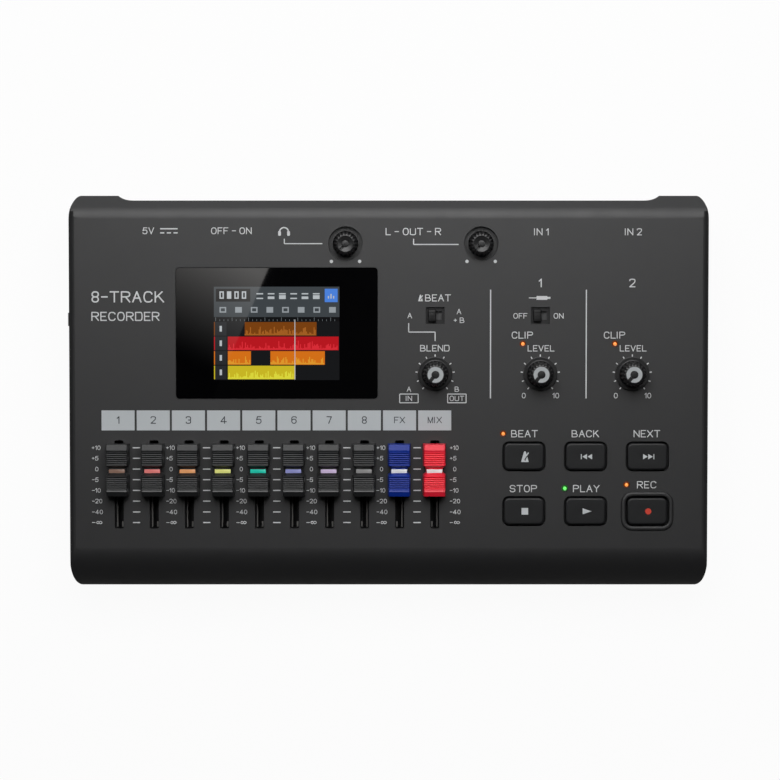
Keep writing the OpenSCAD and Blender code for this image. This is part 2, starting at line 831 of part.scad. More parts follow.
// Lower half of the case: a tray with screw posts, the battery bay and the door's runway
module bottom_case() {
    color("#2f3031") difference() {
        intersection() {
            outer_form();
            below_parting();
            union() {
                difference() {
                    whole_block();
                    inner_form();
                }
                at_case_screws() translate([0, 0, -reach / 2]) cylinder(d = case_post_d, h = reach / 2);
                at_main_screws() translate([0, 0, foot_h - main_z])
                    cylinder(d = board_post_d, h = main_z - foot_h);
                translate([-bay_w / 2 - bay_wall, bay_front - bay_wall, foot_h])
                    cube([bay_w + 2 * bay_wall, bay_l + 2 * bay_wall, bay_top + bay_wall - foot_h]);
                door_pad();
            }
        }
        translate([-bay_w / 2, bay_front, 0]) cube([bay_w, bay_l, bay_top]);
        door_runway();
        at_case_screws() translate([0, 0, -case_screw_seat])
            cylinder(d = case_screw_d + 4 * run_gap, h = case_screw_seat + 1);
        at_case_screws() translate([0, 0, -case_screw_seat - reach / 2])
            cylinder(d = case_well_d, h = reach / 2);
        at_main_screws() translate([0, 0, -main_z + foot_h + main_hole_floor])
            cylinder(d = board_screw_d + 2 * run_gap, h = main_z);
        at_feet() cylinder(d = foot_d + 2 * stack_gap, h = foot_h + foot_seat);
        rear_opening();
    }
}

// Thicker floor that the battery door slides under
module door_pad() {
    pad_w = door_w + 2 * (tongue_w + seat_gap + pad_t);
    translate([-pad_w / 2, y_front, foot_h])
        cube([pad_w, door_rear + pad_t + seat_gap - y_front, door_t + seat_gap + pad_t]);
}

// Space of the battery door and its tongues, open to the front
module door_runway() {
    gap_w = door_w + 2 * seat_gap;
    long = door_rear + seat_gap - y_front + 1;
    translate([-gap_w / 2, y_front - 1, -1]) cube([gap_w, long, foot_h + door_t + seat_gap + 1]);
    translate([-gap_w / 2 - tongue_w, y_front - 1, foot_h + door_t / 2 - stack_gap])
        cube([gap_w + 2 * tongue_w, long, door_t / 2 + stack_gap + seat_gap]);
}

module at_feet() {
    for (side = [-1, 1], y = along * [-foot_v, foot_v])
        translate([side * (half_w - foot_side), y, 0]) children();
}

// Plate behind the rear opening that carries the sockets
module rear_panel() {
    low = floor_z + stack_gap;
    high = bevel_z(0, y_back) - rear_lip + rear_plate_lap;
    w = rear_open_w + 2 * rear_plate_lap;
    color("#232425") translate([0, rear_plate_y, 0]) rotate([90, 0, 0])
        linear_extrude(rear_plate_t) difference() {
            translate([-w / 2, low]) square([w, high - low]);
            for (x = phone_jack_xs) translate([x, jack_z]) circle(d = collar_d + 2 * stack_gap);
            for (x = combo_xs) translate([x, combo_z]) circle(d = combo_face_d + 2 * seat_gap);
            translate([usb_at, main_top + usb_h / 2])
                rounded_rect(usb_w + 2 * seat_gap, usb_h + 2 * seat_gap, usb_h / 2);
            translate([power_at, power_z])
                square([power_w + power_travel + 2 * slide_gap, power_h + 2 * slide_gap], center = true);
        }
}

// Glossy window over the display
module display_window() {
    color("#0b0c0d")
        at_display(-window_t - window_drop)
            rounded_slab(window_w, window_l, window_r, window_t);
}

module lcd_module() {
    color("#54585c")
        at_display(-window_t - window_drop - stack_gap - lcd_t)
            centred_box(lcd_w, lcd_l, lcd_t);
}

// Board under the panel that carries the faders, knobs, keys, switches and lamps
module control_board() {
    edge = half_w - wall - board_side;
    card_edge = half_w - wall - 2 * card_gap;
    card_land = card_socket_l + 2 * card_ledge;
    color("#1f5c3a") on_panel(0, 0, -board_depth - board_t) linear_extrude(board_t) difference() {
        union() {
            translate([-edge, board_front]) square([2 * edge, board_rear - board_front]);
            translate([-card_edge, card_at - card_land / 2]) square([edge, card_land]);
        }
        translate(notch) square([reach, reach]);
        for (p = board_screw_places) translate(p) circle(d = board_screw_d + 4 * run_gap);
    }
}

// Board on the floor that carries the rear sockets
module main_board() {
    edge = half_w - main_side;
    color("#1f5c3a") translate([0, 0, main_z]) linear_extrude(board_t) difference() {
        translate([-edge, main_front]) square([2 * edge, main_rear_y - main_front]);
        for (p = main_screw_places) translate(p) circle(d = board_screw_d + 4 * run_gap);
    }
}

// Ten fader housings, each with a channel for its lever
module fader_tracks() {
    channel_w = lever_t + 2 * seat_gap;
    color("#8f9294")
        for (x = fader_xs)
            on_panel(x, slot_at, -board_depth) difference() {
                centred_box(track_w, track_l, track_h);
                translate([0, 0, track_floor]) centred_box(channel_w, slot_l, track_h);
            }
}

module fader_lever(k) {
    low = track_floor + seat_gap - board_depth;
    color("#a9acae")
        on_panel(fader_xs[k], slot_at + fader_rest, low)
            centred_box(lever_t, lever_l, lever_top - low);
}

// Half of a fader cap's outline from the side, from its foot over the ribbed crown to the line
function cap_half() = let (fall = crown_fall / (cap_crown_l / 2 - dip_l / 2)) concat(
    [[cap_l / 2, 0], [cap_crown_l / 2, cap_h]],
    [for (k = [rib_count : -1 : 1], part = [1, 0.5, 0])
        let (v = dip_l / 2 + (k - 1 + part) * rib_pitch)
        [v, cap_h - fall * (cap_crown_l / 2 - v) - (part == 0.5 ? rib_depth : 0)]],
    [[line_l / 2, cap_h - cap_dip]]);

// Fader cap: sloping ends, ribs and a dip across the crown, and a pinched waist
module fader_cap(k, shade) {
    half = cap_half();
    last = len(half) - 1;
    pinch = (cap_crown_w - cap_waist_w) / 2;
    flare = 2;
    color(shade) on_panel(fader_xs[k], slot_at + fader_rest, cap_gap) difference() {
        intersection() {
            rotate([90, 0, 90]) linear_extrude(reach, center = true)
                polygon(concat(half, [for (j = [last : -1 : 0]) [-half[j][0], half[j][1]]]));
            rotate([90, 0, 0]) linear_extrude(reach, center = true) polygon([
                [-cap_w / 2, 0], [cap_w / 2, 0], [cap_crown_w / 2, cap_h], [-cap_crown_w / 2, cap_h]]);
        }
        for (side = [-1, 1]) translate([side * cap_crown_w / 2, 0, -1]) linear_extrude(cap_h + 2)
            polygon([[side * flare, -dip_l / 2 - flare], [side * flare, dip_l / 2 + flare],
                     [-side * pinch, line_l / 2], [-side * pinch, -line_l / 2]]);
        translate([0, 0, -1])
            centred_box(lever_t + 2 * run_gap, lever_l + 2 * run_gap, lever_top - cap_gap + 1.1);
    }
}

// Five rotary controls on the control board
module pot_bodies() {
    color("#2b4a78") {
        for (x = level_knob_xs) pot_body(x, level_at);
        for (x = flange_knob_xs) pot_body(x, gain_at);
    }
}

module pot_body(x, v) {
    on_panel(x, v, -board_depth) difference() {
        centred_box(pot_w, pot_l, pot_h);
        translate([0, 0, pot_floor]) cylinder(d = shaft_d + 2 * run_gap, h = pot_h);
    }
}

// A knob with its shaft: foot is where the knob starts, top its crown
module knob(x, v, foot, foot_d, top, shade) {
    bore_r = shaft_d / 2 + run_gap;
    bore_top = top - knob_crown_t;
    shaft_low = pot_floor + stack_gap - board_depth;
    color(shade) on_panel(x, v, 0) {
        difference() {
            rotate_extrude() polygon([
                [bore_r, foot], [foot_d / 2, foot], [foot_d / 2, foot + 0.9], [grip_d / 2, foot + 1.5],
                [grip_d / 2 - 0.4, top - 1], [crown_d / 2, top], [0, top], [0, bore_top],
                [bore_r, bore_top]]);
            rotate([0, 0, knob_turn / 2]) translate([-pointer_w / 2, 0, top - pointer_depth])
                cube([pointer_w, grip_d, 1]);
        }
        translate([0, 0, shaft_low]) cylinder(d = shaft_d, h = bore_top - stack_gap - shaft_low);
    }
}

module level_knob(x) {
    knob(x, level_at, knob_gap - well_depth, grip_d + 0.7, level_top, "#1b1c1d");
}

module flange_knob(x) {
    knob(x, gain_at, knob_gap, flange_d, gain_top, "#1b1c1d");
}

// Six key switches on the control board, each with a bore for its stem
module key_switches() {
    color("#6d6f70")
        for (p = key_places)
            on_panel(p[0], p[1], -board_depth) difference() {
                centred_box(tact_w, tact_w, tact_h);
                translate([0, 0, tact_floor]) cylinder(d = tact_stem_d + 2 * stack_gap, h = tact_h);
            }
}

// A key with its retaining flange and plunger, and the switch stem that it presses
module key(k, shade) {
    p = key_places[k];
    flange_top = -wall - slide_gap;
    plunger_low = -board_depth + tact_h + key_travel + 0.5;
    stem_low = -board_depth + tact_floor + key_travel + stack_gap;
    color(shade) on_panel(p[0], p[1], 0) {
        union() {
            translate([0, 0, flange_top - key_flange_t / 2])
                rounded_slab(key_w, key_l, key_r, key_top - flange_top + key_flange_t / 2);
            translate([0, 0, flange_top - key_flange_t])
                rounded_slab(key_w + 2 * (key_gap + key_flange), key_l + 2 * (key_gap + key_flange),
                             key_r + key_gap + key_flange, key_flange_t);
            translate([0, 0, plunger_low]) cylinder(d = tact_stem_d + 1, h = flange_top - plunger_low);
        }
        translate([0, 0, stem_low]) cylinder(d = tact_stem_d, h = plunger_low - stack_gap - stem_low);
    }
}

// Housings of the two panel switches and of the power switch
module switch_housings() {
    color("#77797b") {
        for (x = panel_switch_xs)
            on_panel(x, switch_at, -board_depth) difference() {
                centred_box(switch_slot_w + 2 * switch_housing_wall,
                            switch_slot_l + 2 * switch_housing_wall, switch_housing_h);
                translate([0, 0, 1]) centred_box(switch_slot_w, switch_slot_l, switch_housing_h);
            }
        difference() {
            translate([power_at - power_body_w / 2, jack_front - power_body_l, main_top])
                cube([power_body_w, power_body_l, power_body_h]);
            translate([power_at, jack_front, power_z]) rotate([-90, 0, 0])
                centred_slot(power_w + power_travel + 2 * slide_gap, power_h + 2 * slide_gap,
                             power_slot_l);
        }
    }
}

module centred_slot(w, h, l) {
    translate([-w / 2, -h / 2, -l]) cube([w, h, l + 1]);
}

module panel_switch_lever(x) {
    low = -board_depth + 1 + slide_gap;
    thumb_low = slide_gap - switch_depth;
    color("#1d1e1f") on_panel(x - switch_travel / 2, switch_at, 0) {
        translate([0, 0, thumb_low]) centred_box(thumb_w, thumb_l, thumb_top - thumb_low);
        translate([0, 0, low]) centred_box(stem_w, stem_l, thumb_low - low);
    }
}

module power_switch_lever() {
    inner = power_slot_l - 0.5;
    color("#1d1e1f") translate([power_at - power_travel / 2 - power_w / 2, jack_front - inner,
                                power_z - power_h / 2])
        cube([power_w, collar_end - jack_front + inner, power_h]);
}

// Input sockets: a round face with a plug bore, a ring groove and three pin holes
module combo_jacks() {
    color("#202122") for (x = combo_xs) difference() {
        union() {
            translate([x - combo_w / 2, jack_front - jack_l, main_top]) cube([combo_w, jack_l, combo_h]);
            translate([x, jack_front - 1, combo_z]) rotate([-90, 0, 0])
                cylinder(d = combo_face_d, h = combo_end - jack_front + 1);
        }
        translate([x, combo_end, combo_z]) rotate([90, 0, 0]) {
            translate([0, 0, -1]) cylinder(d = plug_bore_d, h = plug_bore_l + 1);
            translate([0, 0, -1]) difference() {
                cylinder(d = groove_d, h = groove_l + 1);
                cylinder(d = core_d, h = groove_l + 1);
            }
            for (a = [90, 210, 330]) rotate([0, 0, a])
                translate([pin_ring, 0, -1]) cylinder(d = pin_hole_d, h = groove_l + 1);
        }
    }
}

// Phone sockets: a boxy body with a threaded collar and a plug bore
module phone_jacks() {
    color("#202122") for (x = phone_jack_xs) difference() {
        union() {
            translate([x - jack_w / 2, jack_front - jack_l, main_top]) cube([jack_w, jack_l, jack_h]);
            translate([x, jack_front - 1, jack_z]) rotate([-90, 0, 0])
                cylinder(d = collar_d, h = collar_end - jack_front + 1);
        }
        translate([x, collar_end - plug_bore_l, jack_z]) rotate([-90, 0, 0])
            cylinder(d = plug_bore_d, h = plug_bore_l + 1);
    }
}

module jack_nuts() {
    color("#b9bcbe") for (x = phone_jack_xs)
        translate([x, rear_plate_y, jack_z]) rotate([-90, 0, 0]) difference() {
            cylinder(d = nut_d, h = nut_t, $fn = 6);
            translate([0, 0, -1]) cylinder(d = collar_d + 2 * run_gap, h = nut_t + 2);
        }
}

// Power inlet: an oval metal shell with a contact tongue
module usb_socket() {
    corner = usb_h / 2 - 0.01;
    color("#a5a8aa") translate([usb_at, rear_plate_y, main_top + usb_h / 2]) rotate([90, 0, 0]) {
        difference() {
            rounded_slab(usb_w, usb_h, corner, usb_l);
            translate([0, 0, -1])
                rounded_slab(usb_w - 2 * usb_shell_t, usb_h - 2 * usb_shell_t, corner - usb_shell_t, usb_l);
        }
        translate([0, 0, 1]) centred_box(usb_tongue_w, usb_tongue_t, usb_l - 1.5);
    }
}

// Lamps: a foot on the control board and a lens through the panel
module led_lamps() {
    lens_low = -wall - 2 * lamp_rim;
    color("#d9a35a") for (p = lamp_places) on_panel(p[0], p[1], 0) {
        translate([0, 0, -board_depth]) cylinder(d = lamp_foot_d, h = lens_low + board_depth);
        translate([0, 0, lens_low]) cylinder(d = lamp_d, h = lamp_rise - lens_low);
    }
}

// Card socket under the control board, open to the left wall
module card_socket() {
    left = -half_w + wall + card_gap;
    color("#9b9ea0") on_panel(left, card_at, card_w - card_socket_h / 2) difference() {
        translate([0, -card_socket_l / 2, 0]) cube([card_socket_w, card_socket_l, card_socket_h]);
        translate([-1, -card_mouth_w / 2, card_floor])
            cube([card_socket_w - 1, card_mouth_w, card_mouth_h]);
    }
}

// Card door: a flap on two pins along its lower edge, with a finger tab on top
module card_door() {
    high = card_w + card_door_h / 2 - slide_gap / 2 - card_hinge_w;
    color("#303132") on_panel(card_hinge_x, card_at, card_hinge_w) union() {
        rotate([90, 0, 0]) cylinder(d = card_door_t, h = card_door_l, center = true);
        rotate([90, 0, 0]) cylinder(d = card_pin_d, h = card_door_l + 2 * card_pin_l, center = true);
        translate([-card_door_t / 2, -card_door_l / 2, 0]) cube([card_door_t, card_door_l, high]);
        translate([-card_door_t / 2 - card_tab_out, -card_tab_w / 2, high - card_tab_h])
            cube([card_tab_out + 0.5, card_tab_w, card_tab_h]);
    }
}

// Contacts at both ends of each cell: a plate with a sprung cone or a flat stud
module battery_contacts() {
    free = contact_room - contact_t - stack_gap;
    color("#c2c5c7") for (k = [0 : cell_count - 1], end = [-1, 1]) {
        x = (k - (cell_count - 1) / 2) * cell_pitch;
        stud = (k % 2 == 0) == (end > 0);
        translate([x, bay_mid + end * bay_l / 2, cell_z]) rotate([end * 90, 0, 0]) {
            centred_box(contact_w, contact_h, contact_t);
            translate([0, 0, contact_t])
                cylinder(r1 = stud ? stud_r : spring_r, r2 = stud ? stud_r : spring_tip_r, h = free);
        }
    }
}

module aa_cells() {
    color("#3a6ea5") for (k = [0 : cell_count - 1]) {
        x = (k - (cell_count - 1) / 2) * cell_pitch;
        way = k % 2 == 0 ? 1 : -1;
        translate([x, bay_mid - way * cell_l / 2, cell_z]) rotate([-way * 90, 0, 0]) {
            cylinder(d = cell_d, h = can_l);
            translate([0, 0, can_l]) cylinder(d = nub_d, h = nub_l);
        }
    }
}

// A screw that stands on its head, with a cross recess in the head
module screw(head, thick, long) {
    difference() {
        union() {
            translate([0, 0, -head_h]) cylinder(d = head, h = head_h);
            cylinder(d = thick, h = long);
        }
        for (a = [0, 90]) rotate([0, 0, a])
            translate([0, 0, -head_h - 1]) centred_box(recess_l, recess_w, recess_depth + 1);
    }
}

// Screws that hold the halves together from below
module case_screws() {
    color("#8d9092") at_case_screws() translate([0, 0, -case_screw_seat])
        screw(case_head_d, case_screw_d, case_screw_l);
}

// Screws that hold the control board to the panel and the socket board to the floor
module board_screws() {
    tip = 0.4;
    color("#8d9092") {
        at_board_screws() translate([0, 0, -board_t])
            screw(board_head_d, board_screw_d, board_t + board_depth - wall - 5 * tip);
        at_main_screws() translate([0, 0, board_t]) rotate([180, 0, 0])
            screw(board_head_d, board_screw_d, main_top - foot_h - main_hole_floor - tip);
    }
}

module rubber_feet() {
    color("#191a1a") at_feet() cylinder(d = foot_d, h = foot_h + foot_seat);
}

// Flat cable from the display down to the control board
module display_flex() {
    high = -window_t - window_drop - 2 * stack_gap - lcd_t;
    low = -board_depth + stack_gap;
    front = display_at[1] - lcd_l / 2 - flex_bend;
    rear = display_at[1] - lcd_l / 2 + flex_lap;
    foot = slot_at + track_l / 2 + flex_gap;
    color("#b5702c") on_panel(display_at[0], 0, 0) rotate([90, 0, 90])
        linear_extrude(flex_w, center = true) polygon([
            [rear, high], [front, high], [front, low + flex_t], [foot, low + flex_t], [foot, low],
            [front + flex_t, low], [front + flex_t, high - flex_t], [rear, high - flex_t]]);
}

// Flat cable with its two plugs between the control board and the socket board
module board_ribbon() {
    x = across * ribbon_x;
    y = main_front + ribbon_in;
    under = -board_depth - board_t - stack_gap;
    top = panel_yz(y, under - plug_h / 2)[1];
    low = main_top + stack_gap;
    color("#c9ccce") union() {
        translate([x, y, low]) centred_box(plug_w, plug_l, plug_h);
        translate([x, y, low]) centred_box(ribbon_w, ribbon_t, top - low);
        on_panel(x, y, under - plug_h) centred_box(plug_w, plug_l, plug_h);
    }
}

// Battery door: a plate flush with the floor and chamfer, with a tongue along each side and
// finger ribs under its front end
module battery_door() {
    long = door_rear - y_front;
    color("#2f3031") union() {
        intersection() {
            outer_form();
            union() {
                translate([-door_w / 2, y_front, 0]) cube([door_w, long, foot_h + door_t]);
                translate([-door_w / 2 - tongue_w, y_front, foot_h + door_t / 2 + stack_gap])
                    cube([door_w + 2 * tongue_w, long, door_t / 2 - stack_gap]);
            }
        }
        for (k = [0 : grip_rib_count - 1])
            translate([0, y_front + grip_rib_in + k * grip_rib_pitch, foot_h - grip_rib_h])
                centred_box(grip_rib_w, grip_rib_l, grip_rib_h + door_t / 2);
    }
}

top_case();
bottom_case();
rear_panel();
display_window();
lcd_module();
control_board();
main_board();
fader_tracks();
pot_bodies();
key_switches();
switch_housings();
combo_jacks();
phone_jacks();
jack_nuts();
usb_socket();
led_lamps();
card_socket();
battery_contacts();
aa_cells();
case_screws();
board_screws();
rubber_feet();
display_flex();
board_ribbon();
for (k = [1 : TRACKS])
    fader_cap(k - 1, "#2c2d2e");
fader_cap(TRACKS, "#223a96");  // effect_fader_cap
fader_cap(TRACKS + 1, "#e6323c");  // master_fader_cap
for (k = [1 : TRACKS])
    fader_lever(k - 1);
fader_lever(TRACKS);  // effect_fader_lever
fader_lever(TRACKS + 1);  // master_fader_lever
level_knob(level_knob_xs[0]);  // phones_knob
level_knob(level_knob_xs[1]);  // output_knob
flange_knob(flange_knob_xs[0]);  // balance_knob
flange_knob(flange_knob_xs[1]);  // gain_knob_1
flange_knob(flange_knob_xs[2]);  // gain_knob_2
key(0, "#232425");  // click_key
key(1, "#232425");  // rewind_key
key(2, "#232425");  // forward_key
key(3, "#232425");  // stop_key
key(play_index, "#232425");  // play_key
key(record_index, "#232425");  // record_key
panel_switch_lever(panel_switch_xs[0]);  // click_switch_lever
panel_switch_lever(panel_switch_xs[1]);  // input_switch_lever
power_switch_lever();
battery_door();
card_door();
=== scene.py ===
import math

import bmesh
import bpy
import numpy as np
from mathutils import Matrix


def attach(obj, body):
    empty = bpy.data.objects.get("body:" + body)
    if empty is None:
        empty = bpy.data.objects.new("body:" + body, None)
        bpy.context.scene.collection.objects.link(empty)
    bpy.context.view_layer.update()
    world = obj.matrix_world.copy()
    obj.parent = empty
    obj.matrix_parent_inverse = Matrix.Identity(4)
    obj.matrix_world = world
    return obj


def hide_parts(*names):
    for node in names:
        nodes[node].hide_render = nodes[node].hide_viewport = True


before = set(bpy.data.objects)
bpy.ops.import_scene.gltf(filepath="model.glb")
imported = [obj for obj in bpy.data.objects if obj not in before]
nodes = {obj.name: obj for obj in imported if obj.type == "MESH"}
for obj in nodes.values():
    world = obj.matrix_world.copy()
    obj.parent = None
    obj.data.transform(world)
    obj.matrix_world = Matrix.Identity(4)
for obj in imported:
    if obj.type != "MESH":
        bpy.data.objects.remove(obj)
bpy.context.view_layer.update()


# Upper case half: the sloping panel with its rolled front lip, one dark grey ABS moulding with a fine
# spark-eroded grain. Its edges are broken as a mould leaves them, and screws hold it from below.
mm = 0.001


def ink(red, green, blue):
    """A colour as seen on a screen, 0 to 255, turned into the linear light that the shaders take."""
    seen = np.array([red, green, blue]) / 255.0
    light = np.where(seen <= 0.04045, seen / 12.92, ((seen + 0.055) / 1.055) ** 2.4)
    return (*light.tolist(), 1.0)


class Shade:
    """A shader socket that adds, subtracts and multiplies like a number, with a Math node for each sign."""

    def __init__(self, tree, socket):
        self.tree, self.socket = tree, socket

    def node(self, kind, inputs, out=0, **settings):
        """Adds a node of a kind, sets its settings first and then its sockets, and gives one output."""
        made = self.tree.nodes.new(kind)
        for key, value in settings.items():
            setattr(made, key, value)
        for key, value in inputs.items():
            if isinstance(value, Shade):
                self.tree.links.new(value.socket, made.inputs[key])
            else:
                made.inputs[key].default_value = value
        return Shade(self.tree, made.outputs[out])

    def sign(self, operation, first, second):
        """One Math node between two values."""
        return self.node("ShaderNodeMath", {0: first, 1: second}, operation=operation)

    def __add__(self, other):
        return self.sign("ADD", self, other)

    def __sub__(self, other):
        return self.sign("SUBTRACT", self, other)

    def __rsub__(self, other):
        return self.sign("SUBTRACT", other, self)

    def __mul__(self, other):
        return self.sign("MULTIPLY", self, other)

    __radd__, __rmul__ = __add__, __mul__

    def clamped(self):
        """This value held between 0 and 1."""
        return self.node("ShaderNodeClamp", {0: self})

    def part(self, k):
        """One part of a place: 0 for x, 1 for y and 2 for z."""
        return self.node("ShaderNodeSeparateXYZ", {0: self}, out=k)

    def noise(self, size_mm, detail=2.0):
        """Noise whose grains are about size_mm across, from 0 to 1."""
        sockets = {"Vector": self, "Scale": 1000.0 / size_mm, "Detail": detail}
        return self.node("ShaderNodeTexNoise", sockets)

    def mix(self, dark, light):
        """Runs from one colour to another as this value runs from 0 to 1."""
        return self.node("ShaderNodeMix", {0: self, 6: dark, 7: light}, out=2, data_type="RGBA")

    def bump(self, depth_mm, strength=1.0):
        """Raises the surface by this value times a depth."""
        sockets = {"Height": self, "Strength": strength, "Distance": depth_mm * mm}
        return self.node("ShaderNodeBump", sockets)

    def surface(self, output="ShaderNodeOutputMaterial"):
        """Makes this shader the surface of its material or its world."""
        self.tree.links.new(self.socket, self.tree.nodes.new(output).inputs["Surface"])


def source(tree, kind, output):
    """A value that a new node of a kind gives out."""
    return Shade(tree, tree.nodes.new(kind).outputs[output])


def open_material(name, **constants):
    """A new material with its shader's constant sockets set: gives the material, a setter and the place."""
    material = bpy.data.materials.new(name)
    material.use_nodes = True
    tree = material.node_tree
    shader = tree.nodes["Principled BSDF"]
    for key, value in constants.items():
        shader.inputs[key.replace("_", " ")].default_value = value

    def feed(**links):
        """Links each value to the socket that its key names."""
        for key, value in links.items():
            tree.links.new(value.socket, shader.inputs[key.replace("_", " ")])

    return material, feed, source(tree, "ShaderNodeTexCoord", "Object")


def tinted(colour, share):
    """The same colour with more or less light in it."""
    return (*(min(1.0, c * share) for c in colour[:3]), 1.0)


def moulded(name, colour, rough, grain_mm=0.35, depth_mm=0.012, **constants):
    """Moulded plastic: grain raised by fine noise, gloss that wanders, and a faint cloudy flow of colour."""
    drift, wander = 0.08, 0.12
    material, feed, place = open_material(name, **constants)
    grain = place.noise(grain_mm, 3.0)
    flow = place.noise(24.0)
    worn = place.noise(5.0, 4.0)
    feed(Base_Color=(flow * 0.7 + grain * 0.3).mix(tinted(colour, 1 - drift), tinted(colour, 1 + drift)),
         Roughness=worn * wander + (rough - wander / 2),
         Normal=grain.bump(depth_mm, 0.6))
    return material


def place_piece(piece, material, body, stands_for=()):
    """Gives a piece its material, the body that it moves with, and the solids it stands for."""
    bpy.context.scene.collection.objects.link(piece)
    piece.data.materials.clear()
    piece.data.materials.append(material)
    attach(piece, body)
    if stands_for:
        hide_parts(*stands_for)


def broken_edges(node, width_mm, cuts_mm=()):
    """A merged copy of a solid: flat triangles become whole faces, and a narrow Bevel rounds each sharp
    edge. Long strips are cut across at places along x, so that their ends don't change the light in the
    middle."""
    same_place, same_plane, sharp = 2e-6, math.radians(0.5), math.radians(38)
    mesh = nodes[node].data.copy()
    form = bmesh.new()
    form.from_mesh(mesh)
    bmesh.ops.remove_doubles(form, verts=form.verts, dist=same_place)
    bmesh.ops.dissolve_limit(form, angle_limit=same_plane, verts=form.verts, edges=form.edges)
    for x in cuts_mm:
        bmesh.ops.bisect_plane(form, geom=form.verts[:] + form.edges[:] + form.faces[:], dist=1e-6,
                               plane_co=(x * mm, 0, 0), plane_no=(1, 0, 0))
    form.to_mesh(mesh)
    form.free()
    mesh.shade_smooth()
    piece = bpy.data.objects.new(node + "_moulding", mesh)
    edge = piece.modifiers.new("broken edge", "BEVEL")
    edge.width, edge.segments = width_mm * mm, 2
    edge.limit_method, edge.angle_limit = "ANGLE", sharp
    even = piece.modifiers.new("even shading", "WEIGHTED_NORMAL")
    even.mode, even.keep_sharp = "FACE_AREA", True
    return piece


upper_plastic = moulded("upper_case_plastic", ink(38, 38, 39), 0.48, grain_mm=0.3, depth_mm=0.01,
                        Specular_IOR_Level=0.56)
strip_cuts = (-122.4, -119.2, 119.2, 122.4)
place_piece(broken_edges("top_case", 0.3, strip_cuts), upper_plastic, "case", ["top_case"])


# Lower case half and battery door: the same ABS with a coarser grain. The door slides to the front in
# grooves of the tray and carries moulded finger ribs.
lower_plastic = moulded("lower_case_plastic", ink(38, 38, 39), 0.55, grain_mm=0.5, depth_mm=0.03)
place_piece(broken_edges("bottom_case", 0.3), lower_plastic, "case", ["bottom_case"])
place_piece(broken_edges("battery_door", 0.2), lower_plastic, "battery_door",
            ["battery_door"])


# Feet and case screws: four turned rubber pads pressed into seats of the floor, and zinc-plated screws
# with a cross recess, deep in their wells.
def tube(grid, closed=False):
    """Faces of a grid of rings: a quad between each pair of neighbours. The two end rings are filled, or
    joined to each other."""
    rows, columns = grid.shape[:2]
    index = np.arange(rows * columns).reshape(rows, columns)
    ring = np.concatenate([index, index[:1]]) if closed else index
    after = np.roll(ring, -1, axis=1)
    quads = np.stack([ring[:-1], after[:-1], after[1:], ring[1:]], -1).reshape(-1, 4).tolist()
    ends = [] if closed else [index[0][::-1].tolist(), index[-1].tolist()]
    return grid.reshape(-1, 3), quads + ends


def gathered(shapes):
    """Several point and face lists as one, each face list moved on by the points before it."""
    starts = np.cumsum([0] + [len(points) for points, _ in shapes[:-1]]).tolist()
    faces = [[k + start for k in face] for (_, rows), start in zip(shapes, starts) for face in rows]
    return np.concatenate([points for points, _ in shapes]), faces


def build(name, shapes, sharp=38):
    """A mesh object from point and face lists: outward faces, smooth but for edges over an angle."""
    points, faces = gathered(shapes)
    mesh = bpy.data.meshes.new(name)
    mesh.from_pydata(points, [], faces)
    form = bmesh.new()
    form.from_mesh(mesh)
    bmesh.ops.recalc_face_normals(form, faces=form.faces)
    form.to_mesh(mesh)
    form.free()
    mesh.shade_smooth()
    mesh.set_sharp_from_angle(angle=math.radians(sharp))
    return bpy.data.objects.new(name, mesh)


def turned(profile, columns, place, flute=0.0):
    """A profile of radius and height turned about its axis. Its third number is the share of the flute's
    depth that is cut there: a cosine wave with 18 crests, clipped, so that crests and floors are flat."""
    flutes = 18
    radius, height, fluted = (np.array(column)[:, None] for column in zip(*profile))
    angle = np.linspace(0, 2 * math.pi, columns, endpoint=False)[None, :]
    wave = np.clip(0.5 + 0.9 * np.cos(flutes * angle), 0, 1)
    reach = radius - flute * fluted * (1 - wave)
    rings = np.stack([reach * np.cos(angle), reach * np.sin(angle), height + 0 * angle], -1)
    return tube(place(rings))


def on_floor(x, y):
    """Places a turned piece on an upright axis at x and y, in millimetres."""
    return lambda local: (local + [x, y, 0]) * mm


rubber, feed, place = open_material("foot_rubber")
speck = place.noise(0.6, 3.0)
feed(Base_Color=speck.mix(ink(22, 22, 22), ink(36, 36, 35)), Roughness=speck * 0.1 + 0.78,
     Normal=speck.bump(0.04))
foot_profile = [(5.0, 0.25, 0), (5.3, 0.02, 0), (5.75, 0.1, 0), (5.98, 0.4, 0), (6.0, 0.8, 0), (6.0, 2.8, 0)]
foot_x, foot_y = 104.8, 58.1
feet = [turned(foot_profile, 64, on_floor(side_x * foot_x, side_y * foot_y))
        for side_x in (-1, 1) for side_y in (-1, 1)]
place_piece(build("rubber_feet_turned", feet), rubber, "case", ["rubber_feet"])


def metal(name, colour, rough, brush_mm=(8.0, 0.15, 0.15), depth_mm=0.004):
    """Bare or plated metal: fine drawn streaks, long one way and thin the others, in gloss and height."""
    wander = 0.16
    material, feed, place = open_material(name, Metallic=1.0)
    stretch = tuple(1 / b for b in brush_mm)
    streak = place.node("ShaderNodeMapping", {"Vector": place, "Scale": stretch}).noise(1.0, 3.0)
    stain = place.noise(3.0, 4.0)
    feed(Base_Color=stain.mix(tinted(colour, 0.86), tinted(colour, 1.06)),
         Roughness=streak * wander + (rough - wander / 2), Normal=streak.bump(depth_mm, 0.5))
    return material


def dress(material, *names):
    """Gives the material to solids whose own shape is right."""
    for name in names:
        nodes[name].data.materials.clear()
        nodes[name].data.materials.append(material)


dress(metal("zinc_plated_steel", ink(150, 152, 154), 0.34), "case_screws", "board_screws")


